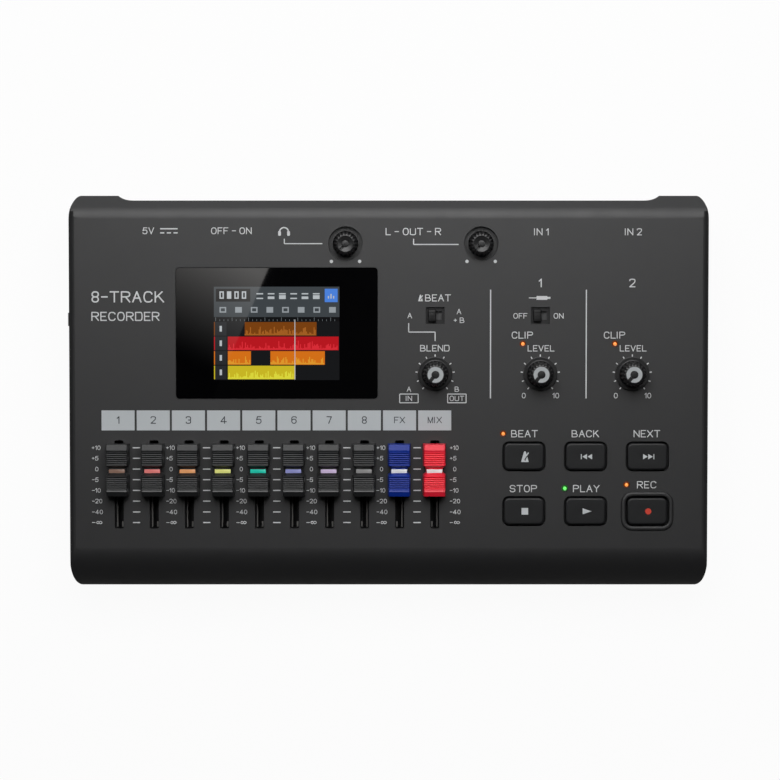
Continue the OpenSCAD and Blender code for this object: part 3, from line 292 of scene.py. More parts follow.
# Socket plate and rear sockets: a powder-coated steel plate behind the rear opening. Black moulded
# sockets stand on the socket board behind it, held by plated hexagon nuts.
def at_rear(x, y, z):
    """Places a turned piece on an axis that runs to the rear."""
    return lambda local: np.stack([x + local[..., 0], y + local[..., 2], z - local[..., 1]], -1) * mm


def hexed(profile, place):
    """A nut: rings of six sides, each side split in eight. The third number of the profile is 1 where a
    ring has sides and 0 where it is round."""
    columns, sixth = 48, math.pi / 3
    angle = np.linspace(0, 2 * math.pi, columns, endpoint=False)
    flat = math.cos(sixth / 2) / np.cos(np.mod(angle, sixth) - sixth / 2)
    rings = []
    for radius, height, sided in profile:
        reach = radius * (flat * sided + (1 - sided))
        rings.append(np.stack([reach * np.cos(angle), reach * np.sin(angle), np.full(columns, height)], -1))
    return tube(place(np.array(rings)), closed=True)


dress(moulded("socket_plate_paint", ink(36, 37, 38), 0.5, grain_mm=0.25, depth_mm=0.02), "rear_panel")
dress(moulded("socket_plastic", ink(30, 31, 32), 0.42, grain_mm=0.6, depth_mm=0.01),
      "combo_jacks", "phone_jacks")
nut_plate = metal("nickel_plate", ink(205, 206, 205), 0.2, brush_mm=(0.4, 0.4, 0.4), depth_mm=0.002)
nut_profile = [(4.55, 0.1, 0), (5.6, 0.0, 0), (6.45, 0.2, 1), (6.5, 0.45, 1), (6.5, 1.75, 1),
               (6.42, 1.95, 1), (5.7, 2.2, 0), (5.0, 2.2, 0), (4.55, 1.9, 0)]
nut_y, nut_z = 72.0, 14.0
nuts = [hexed(nut_profile, at_rear(x, nut_y, nut_z)) for x in (-40.9, -0.5, 20.4)]
place_piece(build("jack_nuts_cut", nuts), nut_plate, "case", ["jack_nuts"])
dress(metal("socket_shell_metal", ink(170, 172, 174), 0.28), "usb_socket", "card_socket")
dress(moulded("thumb_plastic", ink(30, 30, 31), 0.4, grain_mm=0.4), "power_switch_lever")


# Boards and what they carry: green glass-fibre boards with the fader housings, rotary controls, key
# switches and slide-switch housings soldered on, hidden in the case with the cells and the display's tin.
board_lacquer, feed, place = open_material("board_lacquer")
copper = place.node("ShaderNodeTexVoronoi", {"Vector": place, "Scale": 260.0}, distance="CHEBYCHEV")
feed(Base_Color=(copper * 1.4).mix(ink(18, 74, 44), ink(38, 112, 68)), Roughness=place.noise(0.4) * 0.1 + 0.3,
     Normal=copper.bump(0.03, 0.5))
dress(board_lacquer, "control_board", "main_board")
drawn_mm = (0.2, 9.0, 0.2)
dress(metal("fader_steel", ink(180, 182, 184), 0.3, brush_mm=drawn_mm),
      *["track_fader_lever_%d" % k for k in range(1, 9)], "effect_fader_lever", "master_fader_lever")
dress(metal("blackened_steel", ink(34, 34, 35), 0.5, brush_mm=drawn_mm), "fader_tracks")
dress(moulded("control_body_plastic", ink(43, 74, 120), 0.45), "pot_bodies")
dress(moulded("switch_body_plastic", ink(104, 105, 106), 0.5), "key_switches", "switch_housings")
dress(metal("display_tin", ink(120, 124, 128), 0.4), "lcd_module")
dress(metal("contact_plate", ink(200, 202, 204), 0.25), "battery_contacts")
dress(moulded("cable_film", ink(181, 112, 44), 0.3, grain_mm=1.2), "display_flex")
dress(moulded("ribbon_plastic", ink(200, 203, 205), 0.5, grain_mm=1.27), "board_ribbon")
cell_sleeve, feed, place = open_material("cell_sleeve", Metallic=0.4)
band_y = -0.036
band = place.sign("GREATER_THAN", place.part(1), band_y)
scuff = place.noise(1.5, 4.0)
feed(Base_Color=(band * 0.8 + scuff * 0.2).mix(ink(60, 62, 66), ink(52, 96, 150)),
     Roughness=scuff * 0.2 + 0.25)
dress(cell_sleeve, "aa_cells")


# Card door: a thin flap of the case's plastic in the left wall, which turns on a moulded pin at each end of
# its lower edge. A finger tab on its upper edge stands out of the wall.
place_piece(broken_edges("card_door", 0.12), upper_plastic, "card_door", ["card_door"])


# Display: a polished black acrylic window let into the panel, with the lit picture of the display under
# it. The picture is laid out in plain tiles: a tool bar, a counter, a ruler and four rows of recorded sound.
def on_panel(x, v, w=0.0):
    """Panel places in millimetres to the shared frame: v runs up the 3 degree slope and w stands off it."""
    tilt, panel_mid = math.radians(3), 38.5

    def laid(local):
        """Moves local places to the piece's place, and then tilts and lifts them with the panel."""
        a, b, c = x + local[..., 0], v + local[..., 1], w + local[..., 2]
        return np.stack([a, b * math.cos(tilt) - c * math.sin(tilt),
                         panel_mid + b * math.sin(tilt) + c * math.cos(tilt)], -1) * mm

    return laid


gloss = {"Coat_Weight": 0.2, "Coat_Roughness": 0.01}
acrylic, feed, place = open_material("window_acrylic", **gloss)
smear = place.noise(14.0, 3.0)
feed(Base_Color=smear.mix(ink(2, 2, 3), ink(6, 6, 7)), Roughness=smear * 0.012 + 0.008)
dress(acrylic, "display_window")


def tiles(rows, w, name):
    """Flat tiles given as left, low, right, high, a colour and a layer: thin slabs that stand a step higher
    for each layer, with the colour kept on each corner."""
    slab, layer_step = 0.02, 0.004
    left, low, right, high = np.array([row[:4] for row in rows], float).T
    flat = np.stack([np.stack([left, low], -1), np.stack([right, low], -1),
                     np.stack([right, high], -1), np.stack([left, high], -1)], 1)
    level = w + np.array([row[5] for row in rows])[:, None] * layer_step
    under = np.dstack([flat, np.full(flat.shape[:2], w - slab)])
    over = np.dstack([flat, np.repeat(level, 4, 1)])
    points = on_panel(0, 0)(np.concatenate([under, over], 1)).reshape(-1, 3)
    sides = np.array([[4, 5, 6, 7], [3, 2, 1, 0], [0, 1, 5, 4], [1, 2, 6, 5], [2, 3, 7, 6], [3, 0, 4, 7]])
    faces = (np.arange(len(rows))[:, None, None] * 8 + sides[None]).reshape(-1, 4)
    mesh = bpy.data.meshes.new(name)
    mesh.from_pydata(points, [], faces.tolist())
    shade = np.repeat(np.array([row[4] for row in rows], np.float32), 8, 0)
    lit = mesh.color_attributes.new("lit", "FLOAT_COLOR", "POINT")
    lit.data.foreach_set("color", shade.ravel())
    return bpy.data.objects.new(name, mesh)


screen_left, screen_low = -68.1, 4.55


def screen(x, v, width, height, colour, layer):
    """One tile of the picture, measured from its lower left corner."""
    left, low = screen_left + x, screen_low + v
    return (left, low, left + width, low + height, colour, layer)


black, dark_row, bar_grey = ink(8, 9, 10), ink(24, 25, 27), ink(70, 76, 80)
pale, tick_grey, tool_grey = ink(206, 212, 216), ink(120, 126, 130), ink(168, 175, 180)
picture = [screen(0, 0, 48.9, 36.4, dark_row, 0), screen(0, 24.6, 48.9, 11.8, bar_grey, 1),
           screen(0, 22.9, 48.9, 1.7, ink(16, 17, 18), 1), screen(0.8, 30.6, 13.4, 5.0, black, 2),
           screen(43.2, 30.4, 5.0, 5.2, ink(86, 146, 246), 2)]
picture += [screen(2.2 + 2.9 * k, 31.7, 1.7, 2.9, pale, 3) for k in range(4)]
picture += [screen(2.7 + 2.9 * k, 32.2, 0.7, 1.9, black, 4) for k in (0, 2, 3)]
picture += [screen(16.6 + 4.4 * k, 31.6, 2.6, 0.5 + 0.5 * (k % 3), pale, 3) for k in range(6)]
picture += [screen(16.6 + 4.4 * k, 33.4, 2.6, 0.5, pale, 3) for k in range(6)]
picture += [screen(44.4 + 1.0 * k, 31.8, 0.5, 1.0 + 0.8 * (k % 2), pale, 4) for k in range(3)]
picture += [screen(2.2 + 6.1 * k, 26.3, 2.6, 2.2, tool_grey, 3) for k in range(8)]
picture += [screen(2.7 + 6.1 * k, 26.8, 1.6, 1.2, bar_grey, 4) for k in range(0, 8, 2)]
picture += [screen(0.6 + 1.6 * k, 23.0, 0.18, 0.7 if k % 4 else 1.4, tick_grey, 2) for k in range(30)]

row_height, row_pitch, wave_pitch = 5.3, 5.68, 0.42
sounds = [((226, 206, 40), [(5.4, 26.0)]), ((238, 126, 24), [(22.0, 21.2), (5.4, 9.0)]),
          ((206, 24, 34), [(5.4, 43.2)]), ((136, 72, 14), [(12.0, 28.0)])]
rng = np.random.default_rng(12)
for row, (shade, clips) in enumerate(sounds):
    base = 0.3 + row_pitch * row
    picture += [screen(0, base, 0.4, row_height, ink(*shade), 2),
                screen(0.5, base, 4.4, row_height, ink(44, 46, 49), 1),
                screen(2.2, base + 1.6, 0.9, 2.2, pale, 3)]
    bright = ink(*(min(255, int(c * 1.25 + 26)) for c in shade))
    for start, length in clips:
        picture.append(screen(start, base, length, row_height, ink(*shade), 2))
        count = int(length / wave_pitch)
        swell = 0.6 + 0.4 * np.sin(np.arange(count) * 0.31) ** 2
        height = 0.5 + 3.2 * rng.random(count) ** 2.2 * swell
        picture += [screen(start + wave_pitch * k, base + 0.15, 0.3, height[k], bright, 3)
                    for k in range(count)]
picture.append(screen(31.4, 0.2, 0.3, 23.4, ink(214, 216, 218), 5))

glow, feed, place = open_material("display_glow", Emission_Strength=0.75, **gloss)
lit = place.node("ShaderNodeVertexColor", {}, layer_name="lit")
fleck = place.noise(0.25)
feed(Base_Color=fleck.mix(ink(6, 6, 7), ink(12, 12, 13)), Emission_Color=lit, Roughness=fleck * 0.012 + 0.008)
place_piece(tiles(picture, -0.24, "display_picture"), glow, "case")


# Fader caps: moulded finger caps pushed onto the steel levers, ribbed on both sides of a pinched waist,
# with a coloured line let into the dip. Eight are dark grey, one is blue and one is red. A plastic rail
# shows down in each slot.
cap_foot, fader_v, fader_x, fader_pitch = 0.9, -30.5, -105.5, 13.7


def cap_shape(x, v):
    """The cap's outline along its length: a slope at each end up to a raised edge, a hollow crown with six
    ribs either way, and a dip at the waist. A rib leans a little to the rear, drops, and climbs again,
    which leaves a V groove. Each place gets a height and a width, and a section is carried along."""
    crown_height, hollow, edge_rise, dip_depth = 8.3, 0.1, 0.16, 1.5
    rib_start, rib_stop, rib_pitch, rib_depth = 2.3, 7.1, 0.8, 0.5
    along = np.unique(np.concatenate([np.linspace(-9.9, 10.2, 80), np.linspace(-8.1, 8.1, 325)]))
    far = np.abs(along)
    crown = (crown_height - hollow * np.clip((7.0 - far) / 6.0, 0, 1)
             + edge_rise * np.clip((far - 7.55) / 0.5, 0, 1))
    turn = np.mod((along + np.where(along > 0, -rib_start, rib_stop)) / rib_pitch, 1.0)
    lean, fall, climb = np.clip([turn / 0.38, (turn - 0.38) / 0.2, (turn - 0.58) / 0.42], 0, 1)
    rib = (0.1 * lean + 0.9 * fall - climb) * (far > rib_start) * (far < rib_stop)
    dip = np.clip((2.0 - far) / 0.9, 0, 1)
    slope = 8.46 - 0.48 * np.clip(far - 8.05, 0, None)
    height = np.minimum(crown - rib_depth * rib - dip_depth * dip, slope)
    pinch = np.clip(1.85 - far, 0, 1)
    foot, top = 4.5 - 1.1 * pinch, 4.1 - pinch
    across = np.stack([-foot, -foot + 0.03, -top, -top + 0.25, top - 0.25, top, foot - 0.03, foot], -1)
    base = 0 * height
    up = np.stack([base, base + 0.15, height - 0.3, height, height, height - 0.3, base + 0.15, base], -1)
    rings = np.stack([across, np.repeat(along[:, None], 8, 1), up], -1)
    return tube(on_panel(x, v, cap_foot)(rings))


def rounded_loop(width, length, radius, steps=6):
    """A rectangle with round corners as a closed loop: a quarter circle about each corner's centre."""
    turn = np.linspace(0, math.pi / 2, steps + 1)
    corner = np.repeat(np.arange(4), steps + 1)
    angle = np.tile(turn, 4) + corner * math.pi / 2
    side_x = np.array([1, -1, -1, 1])[corner] * (width / 2 - radius)
    side_y = np.array([1, 1, -1, -1])[corner] * (length / 2 - radius)
    return np.stack([side_x + radius * np.cos(angle), side_y + radius * np.sin(angle)], -1)


def level_loop(width, length, radius, height):
    """The same loop at a height."""
    loop = rounded_loop(width, length, radius)
    return np.column_stack([loop, np.full(len(loop), height)])


def pillow(width, length, radius, steps, place):
    """Rounded rectangles stacked as rings: each step is an inset from the outline and a height."""
    rings = [level_loop(width - 2 * i, length - 2 * i, max(radius - 0.6 * i, 0.15), h) for i, h in steps]
    return tube(place(np.array(rings)))


line_colours = [(148, 116, 100), (255, 138, 134), (255, 174, 114), (250, 255, 146), (30, 222, 194),
                (156, 160, 221), (224, 202, 238), (156, 155, 155), (255, 255, 255), (255, 255, 255)]
cap_plastics = {"cap_dark": moulded("cap_plastic_dark", ink(31, 32, 33), 0.4, grain_mm=0.5),
                "cap_blue": moulded("cap_plastic_blue", ink(10, 48, 150), 0.42, grain_mm=0.5,
                                    Specular_IOR_Level=0.34),
                "cap_red": moulded("cap_plastic_red", ink(255, 34, 60), 0.42, grain_mm=0.5)}
faders = [("track_fader_%d" % k, "track_fader_cap_%d" % k, "cap_dark") for k in range(1, 9)]
faders += [("effect_fader", "effect_fader_cap", "cap_blue"), ("master_fader", "master_fader_cap", "cap_red")]
line_steps = [(0, 0), (0, 0.18), (0.08, 0.25)]
for k, ((body, node, slot), colour) in enumerate(zip(faders, line_colours)):
    x = fader_x + fader_pitch * k
    cap = build(node + "_ribbed", [cap_shape(x, fader_v + 0.15)], 30)
    place_piece(cap, cap_plastics[slot], body, [node])
    enamel = moulded("line_enamel_%d" % (k + 1), ink(*colour), 0.35, grain_mm=0.4, depth_mm=0.004)
    line = pillow(6.1, 1.55, 0.2, line_steps, on_panel(x, fader_v, cap_foot + 6.5))
    place_piece(build(node + "_line", [line]), enamel, body)

rail_x, rail_w = -105.3, -3.7
rail_steps = [(0, -0.1), (0, 0.4), (0.1, 0.5)]
rails = []
for k in range(10):
    x, side = rail_x + fader_pitch * k, 1 if k > 6 else -1
    rails.append(pillow(0.5, 31.4, 0.1, rail_steps, on_panel(x + 0.93 * side, -37.5, rail_w)))
    rails.append(pillow(0.7, 2.1, 0.1, rail_steps, on_panel(x - 1.1 * side, -52.1, rail_w)))
rail_grey = moulded("track_rail_plastic", ink(106, 105, 103), 0.6, grain_mm=0.3, Specular_IOR_Level=0.3)
place_piece(build("fader_track_rails", rails), rail_grey, "case")


# Knobs: moulded grips with flutes, pushed onto the shafts of the rotary controls. The three on the panel
# have a flange and a pale ring let into the crown, and the two in the wells are dark all over.
knob_plastic = moulded("knob_plastic", ink(24, 24, 25), 0.32, grain_mm=0.5)
ring_pale = moulded("crown_ring_pale", ink(178, 182, 184), 0.4, grain_mm=0.4, depth_mm=0.004)
ring_dark = moulded("crown_ring_dark", ink(26, 26, 27), 0.38, grain_mm=0.4, depth_mm=0.004)
shoulder = [(4.72, 4.6, 1), (4.62, 5.4, 1), (4.45, 5.95, 1), (4.2, 6.22, 1), (3.75, 6.37, 0.6),
            (3.3, 6.49, 0), (3.2, 6.5, 0)]
well_profile = [(3.1, -2.65, 0), (4.75, -2.65, 0), (4.92, -2.5, 0), (4.95, -1.8, 0), (4.85, -1.4, 0.3),
                (4.8, -0.6, 1), *shoulder, (3.12, 6.42, 0), (3.08, 3.95, 0), (1.4, 3.85, 0), (1.36, 6.1, 0),
                (1.28, 6.2, 0), (0.95, 6.24, 0), (0.02, 6.24, 0)]
flange_rise = 4.0
flange_profile = [(3.1, 0.6, 0), (6.3, 0.6, 0), (6.5, 0.7, 0), (6.56, 0.85, 0), (6.56, 1.32, 0),
                  (6.5, 1.4, 0), (6.42, 1.42, 0), (6.3, 1.42, 0), (5.4, 1.36, 0), (5.25, 1.36, 0),
                  (5.08, 1.43, 0), (4.95, 1.6, 0), (4.84, 2.4, 0.5), (4.8, 3.0, 1),
                  *[(r, h + flange_rise, share) for r, h, share in shoulder],
                  (1.55, 10.45, 0), (1.5, 10.1, 0), (1.44, 10.1, 0), (1.38, 10.36, 0), (1.28, 10.46, 0),
                  (0.95, 10.5, 0), (0.02, 10.5, 0)]
flat_ring = [(1.55, 10.4), (3.08, 10.4), (3.08, 10.55), (1.55, 10.55)]
dished_ring = [(1.42, 3.7), (3.06, 3.7), (3.06, 6.42), (1.42, 6.05)]


def crown_ring(x, v, corners, slot_width):
    """A ring with four corners, each a radius and a height, carried round the crown from one side of the
    pointer slot to the other."""
    pointer = math.radians(230)
    radius, height = np.array(corners).T
    half_slot = np.arcsin(slot_width / 2 / radius)
    share = np.linspace(0, 1, 73)[:, None]
    angle = pointer + half_slot + share * (2 * math.pi - 2 * half_slot)
    rings = np.stack([radius * np.cos(angle), radius * np.sin(angle), height + 0 * angle], -1)
    return tube(on_panel(x, v)(rings))


well_v, dial_v, dial_x = 57.7, 7.1, (18.1, 59.1, 95.0)
knobs = [("phones_knob", -16.8, well_v), ("output_knob", 36.0, well_v), ("balance_knob", dial_x[0], dial_v),
         ("gain_knob_1", dial_x[1], dial_v), ("gain_knob_2", dial_x[2], dial_v)]
for name, x, v in knobs:
    if v == well_v:
        profile, ring, plastic = well_profile, crown_ring(x, v, dished_ring, 0.96), ring_dark
    else:
        profile, ring, plastic = flange_profile, crown_ring(x, v, flat_ring, 1.44), ring_pale
    grip = turned(profile, 216, on_panel(x, v), flute=0.5)
    shaft = turned([(3.0, -9.0, 0), (3.0, profile[0][1] + 0.3, 0)], 48, on_panel(x, v))
    place_piece(build(name + "_grip", [grip, shaft]), knob_plastic, name, [name])
    place_piece(build(name + "_crown", [ring]), plastic, name)


# Keys: soft satin caps that stand just proud of the panel, each with a flange under it and a plunger that
# presses its switch. Their signs are printed on. A rim of the case's plastic stands round the record key.
key_plastic = moulded("key_plastic", ink(16, 17, 19), 0.5, grain_mm=0.4, depth_mm=0.008,
                      Specular_IOR_Level=0.4)
key_print = moulded("key_print", ink(206, 210, 212), 0.5, grain_mm=0.3, depth_mm=0.003)
record_print = moulded("record_print", ink(218, 66, 46), 0.45, grain_mm=0.3, depth_mm=0.003)
key_steps = [(0, -3.0), (0, 0.55), (0.08, 0.85), (0.2, 1.0), (0.26, 1.02), (0.56, 1.105), (0.62, 1.12),
             (0.7, 1.122), (2.6, 1.14), (4.2, 1.1)]


def prism(outline, x=0.0, v=0.0, w=0.0, thick=0.03):
    """A flat sign: a closed outline in millimetres, given a thin edge so that it is a solid."""
    flat = np.array(outline, float)
    rings = np.stack([np.column_stack([flat, np.full(len(flat), h)]) for h in (-thick, thick)])
    return tube(on_panel(x, v, w)(rings))


def arrow(tip_x, way, size):
    """A triangle that points along the panel."""
    back, half = tip_x - way * size * 1.25, size * 0.72
    return [(tip_x, 0), (back, half), (back, -half)]


def disc(radius, columns=32):
    """A circle as a closed outline."""
    angle = np.linspace(0, 2 * math.pi, columns, endpoint=False)
    return np.stack([radius * np.cos(angle), radius * np.sin(angle)], -1)


def bar(x0, v0, x1, v1, width):
    """A straight printed stroke of a width between two places."""
    way = np.array([x1 - x0, v1 - v0], float)
    side = np.array([-way[1], way[0]]) / np.linalg.norm(way) * width / 2
    a, b = np.array([x0, v0]), np.array([x1, v1])
    return np.array([a + side, a - side, b - side, b + side])


def framed(rings, place):
    """A closed frame: each ring is a rounded rectangle given as width, length, radius and height, and the
    last ring is joined to the first."""
    return tube(place(np.array([level_loop(*ring) for ring in rings])), closed=True)


beat_sign = [[(-1.5, -2.1), (1.45, -2.1), (1.35, -1.6), (-1.38, -1.6)], bar(0.5, 0.25, 1.4, 1.6, 0.45),
             [(-1.4, -1.7), (0.0, -1.7), (-0.2, -1.2), (0.7, 0.5), (0.42, 1.7), (0.2, 2.05), (-0.2, 2.05),
              (-0.45, 1.7)],
             [(0.4, -1.7), (1.36, -1.7), (0.92, 0.0), (0.22, -1.35)]]
key_signs = {"click_key": beat_sign,
             "rewind_key": [arrow(-1.7, -1, 1.45), arrow(0.3, -1, 1.45), bar(-2.1, -1, -2.1, 1, 0.35)],
             "forward_key": [arrow(1.7, 1, 1.45), arrow(-0.3, 1, 1.45), bar(2.1, -1, 2.1, 1, 0.35)],
             "stop_key": [[(-1.3, -1.3), (1.3, -1.3), (1.3, 1.3), (-1.3, 1.3)]],
             "play_key": [[(2.0, 0), (-1.5, 1.15), (-1.5, -1.15)]],
             "record_key": [disc(1.2)]}
key_x, key_v, key_pitch_x, key_pitch_v = 52.8, -25.3, 24.1, 21.4
for k, (name, signs) in enumerate(key_signs.items()):
    x, v = key_x + key_pitch_x * (k % 3), key_v - key_pitch_v * (k // 3)
    cap = pillow(15.6, 10.4, 2.0, key_steps, on_panel(x, v))
    flange = pillow(19.0, 13.8, 3.4, [(0, -3.8), (0, -2.75)], on_panel(x, v))
    plunger = turned([(2.15, -5.4, 0), (2.15, -3.5, 0)], 32, on_panel(x, v))
    place_piece(build(name + "_cap", [cap, flange, plunger]), key_plastic, name, [name])
    sign = build(name + "_sign", [prism(outline, x + 0.36, v, 1.15, 0.04) for outline in signs])
    place_piece(sign, record_print if name == "record_key" else key_print, name)

rim_steps = [(1.0, -0.3), (1.0, 0.05), (0.85, 0.5), (0.6, 0.82), (0.45, 0.9), (-0.5, 0.9), (-0.68, 0.8),
             (-0.85, 0.4), (-0.9, -0.3)]
rim = framed([(18.6 + 2 * r, 13.4 + 2 * r, 3.5 + r, h) for r, h in rim_steps], on_panel(101.0, -46.7))
place_piece(build("record_key_rim", [rim]), upper_plastic, "case")


# Panel slide switches: small ribbed thumb pieces in square pockets, on stems that run in their housings.
# Each pocket floor is covered by a sheet darker than the case, which is painted shade in the recess. A flat
# shutter on each stem closes the slot from below.
# A dark sheet on each pocket floor: painted shade in the recess, not a colour of the case.
pocket_shade_paint = moulded("pocket_painted_shade", ink(28, 28, 29), 0.7, grain_mm=0.3)
# The shutter's grey is lighter than the case's to make up for the shade deep in the slot: painted light.
shutter_painted_light = moulded("shutter_painted_light_plastic", ink(64, 64, 65), 0.6, grain_mm=0.3)
thumb_dark = moulded("switch_thumb_plastic", ink(19, 19, 20), 0.5, grain_mm=0.4, Specular_IOR_Level=0.3)
switch_v, lever_shift = 29.7, -1.2
liner_rings = [(7.2, 6.5, 0.1, -1.2), (5.3, 3.3, 0.1, -1.2), (5.3, 3.3, 0.1, -1.31), (7.2, 6.5, 0.1, -1.31)]
shade_liners = [framed(liner_rings, on_panel(x, switch_v)) for x in dial_x[:2]]
place_piece(build("switch_pocket_shade", shade_liners), pocket_shade_paint, "case")
thumb_steps = [(0, -1.0), (0, 0.3), (0.12, 0.5), (0.35, 0.6)]
rib_steps = [(0, 0.3), (0, 0.62), (0.08, 0.72)]
for name, x in zip(("click_switch_lever", "input_switch_lever"), dial_x):
    lever = on_panel(x + lever_shift, switch_v)
    shapes = [pillow(3.1, 4.8, 0.25, thumb_steps, lever),
              pillow(2.2, 2.6, 0.2, [(0, -8.9), (0, -0.9)], lever)]
    shapes += [pillow(2.2, 0.45, 0.1, rib_steps, on_panel(x + lever_shift, switch_v + d))
               for d in (-1.3, 0.0, 1.3)]
    place_piece(build(name + "_thumb", shapes), thumb_dark, name, [name])
    # The shutter, in its lightened grey that is painted light.
    shutter = pillow(7.8, 4.2, 0.2, [(0, -2.9), (0, -2.65)], lever)
    place_piece(build(name + "_shutter", [shutter]), shutter_painted_light, name)


# Lamps: moulded lenses that stand a little proud of the panel, lit from the board below. Four glow amber
# and the one at the play key glows green.
def lamp_glass(name, deep, bright, strength):
    """Lit glass: the glow wanders between two shades, as the moulding swirls."""
    material, feed, place = open_material(name, Emission_Strength=strength, Coat_Weight=0.4)
    swirl = place.noise(1.6)
    feed(Base_Color=swirl.mix(tinted(deep, 0.5), deep), Emission_Color=swirl.mix(deep, bright),
         Roughness=swirl * 0.1 + 0.2)
    return material


collar_profile = [(1.5, -10.1, 0), (1.5, -3.2, 0), (1.1, -3.2, 0), (1.1, 0.05, 0), (1.02, 0.25, 0),
                  (0.85, 0.34, 0), (0.66, 0.3, 0)]
bead_profile = [(0.66, 0.2, 0), (0.66, 0.34, 0), (0.55, 0.5, 0), (0.3, 0.6, 0), (0.02, 0.64, 0)]
amber_places = [(52.3, 18.7), (88.2, 18.7), (44.7, -16.4), (92.9, -36.4)]
lamps = [("amber", amber_places, ink(238, 120, 40), ink(255, 172, 90), ["led_lamps"]),
         ("green", [(68.8, -37.8)], ink(70, 230, 80), ink(150, 255, 140), [])]
for shade, spots, deep, bright, stands_for in lamps:
    collar_glass = lamp_glass("lamp_rim_" + shade, tinted(deep, 0.1), tinted(deep, 0.35), 0.6)
    bead_glass = lamp_glass("lamp_core_" + shade, deep, bright, 1.0)
    collars = [turned(collar_profile, 32, on_panel(x, v)) for x, v in spots]
    beads = [turned(bead_profile, 32, on_panel(x, v)) for x, v in spots]
    place_piece(build("led_lamps_" + shade, collars), collar_glass, "case", stands_for)
    place_piece(build("led_beads_" + shade, beads), bead_glass, "case")


# Panel prints: pale ink and grey plates screen-printed on the panel. They are plain numbers, scale marks,
# ticks, guide lines and short words for what each control does.
pen_signs = {
    "A": "00 38 60|13 53", "B": "00 08|~08 58 54 04|~04 64 60 00", "C": "~66 58 18 05 03 10 50 62",
    "D": "00 08|~08 38 68 60 30 00", "E": "50 00 08 58|04 44", "F": "00 08 58|04 44", "I": "00 08",
    "K": "00 08|03 58|25 60", "L": "08 00 50", "M": "00 08 30 68 60", "N": "00 08 60 68",
    "O": "o05 18 58 65 63 50 10 03", "P": "00 08|~08 68 64 04", "R": "00 08|~08 68 64 04|34 60",
    "S": "~66 58 18 06 14 54 62 50 10 02", "T": "08 68|38 30", "U": "~08 03 00 60 63 68", "V": "08 30 68",
    "X": "00 68|08 60", "Y": "08 34 68|34 30", "0": "o05 18 48 55 53 40 10 03", "1": "06 28 20",
    "2": "~06 08 58 55 33 00|00 50", "3": "~06 08 58 54 24|~24 54 50 00 02", "4": "40 48 02 62",
    "5": "58 18 04|~04 15 55 50 00 02", "6": "~56 58 08 03|o03 15 45 53 52 40 10 02", "7": "08 58 20",
    "8": "o06 18 48 56 44 14|o02 14 44 52 40 10", "+": "04 44|26 22", "-": "04 44",
    "=": "o04 16 36 52 72 94 76 56 32 12"}


def ribbon(spots, closed, width, lift):
    """A stroke of the pen: a run of places moved to both sides by half a width, mitred at each corner."""
    under, over = -0.03, 0.03 + lift
    ahead, back = np.roll(spots, -1, 0) - spots, spots - np.roll(spots, 1, 0)
    if not closed:
        ahead[-1], back[0] = back[-1], ahead[0]
    ahead, back = (way / np.linalg.norm(way, axis=1, keepdims=True) for way in (ahead, back))
    side = np.stack([-(ahead + back)[:, 1], (ahead + back)[:, 0]], -1)
    side *= width / np.sum(side ** 2, 1, keepdims=True)
    flat = np.stack([spots + side, spots - side, spots - side, spots + side], 1)
    high = np.tile(np.array([under, under, over, over])[None, :, None], (len(spots), 1, 1))
    return tube(on_panel(0, 0)(np.concatenate([flat, high], -1)), closed)


def written(x, v, height, text, from_left=False):
    """A word at a place: each sign is drawn in runs on a grid six wide and eight high. A straight run is
    drawn as separate bars, and a run that starts with o or a wave has its corners cut twice, which makes it
    round. Each stroke lies a hair higher than the one before."""
    narrow, gap, overrun, pen, stretch, hair = 0.8, 2.3, 0.45, 1.12, 1.08, 0.002
    start, runs = 0.0, []
    for sign in text:
        run_ends = [narrow]
        for run in filter(None, pen_signs.get(sign, "").split("|")):
            spots = np.array([[int(c) for c in pair] for pair in run.strip("o~").split()], float) + [start, 0]
            run_ends += (spots[:, 0] - start).tolist()
            if run[0] in "o~":
                for _ in range(2):
                    ahead = np.roll(spots, -1, 0)
                    halves = np.stack([0.75 * spots + 0.25 * ahead, 0.25 * spots + 0.75 * ahead], 1)
                    halves = halves.reshape(-1, 2)
                    spots = halves if run[0] == "o" else np.concatenate([spots[:1], halves[1:-3], spots[-1:]])
                runs.append((spots, run[0] == "o"))
            else:
                for a, b in zip(spots, spots[1:]):
                    over = (b - a) / np.linalg.norm(b - a) * overrun
                    runs.append((np.array([a - over, b + over]), False))
        start += max(run_ends) + gap
    unit = height / 9.0
    middle = [0 if from_left else start / 2 - gap / 2, 4]
    return [ribbon((spots - middle) * [unit * stretch, unit] + [x, v], closed, unit * pen, hair * k)
            for k, (spots, closed) in enumerate(runs)]


def legs(path, width):
    """Printed strokes of a width along a path, one bar for each leg."""
    return [bar(*a, *b, width) for a, b in zip(path, path[1:])]


def bow(x, v, radius, width, start, stop):
    """A printed arc of a width: the outer edge one way and the inner edge back."""
    turn = np.radians(np.linspace(start, stop, 25))
    edge = np.stack([np.cos(turn), np.sin(turn)], -1)
    return np.concatenate([(radius + width / 2) * edge, (radius - width / 2) * edge[::-1]]) + [x, v]


pale_ink = moulded("pale_ink", ink(214, 216, 217), 0.5, grain_mm=0.2, depth_mm=0.003)
plate_ink = moulded("plate_ink", ink(193, 198, 201), 0.5, grain_mm=0.3, depth_mm=0.003)
dark_ink = moulded("dark_ink", ink(48, 52, 60), 0.5, grain_mm=0.2, depth_mm=0.003)

plate_x, plate_pitch, plate_v, label_v = -105.6, 13.73, -11.2, -11.05
plate_loop = rounded_loop(12.9, 7.8, 0.1)
plates = [prism(plate_loop, plate_x + plate_pitch * k, plate_v, thick=0.02) for k in range(10)]
place_piece(build("label_plates", plates), plate_ink, "case")
labels = [(plate_x + plate_pitch * k, label_v, 2.9, str(k + 1)) for k in range(8)]
labels += [(4.25, label_v, 2.5, "FX"), (18.0, label_v, 2.5, "MIX")]
digits = [stroke for label in labels for stroke in written(*label)]
place_piece(build("label_digits", digits), dark_ink, "case")

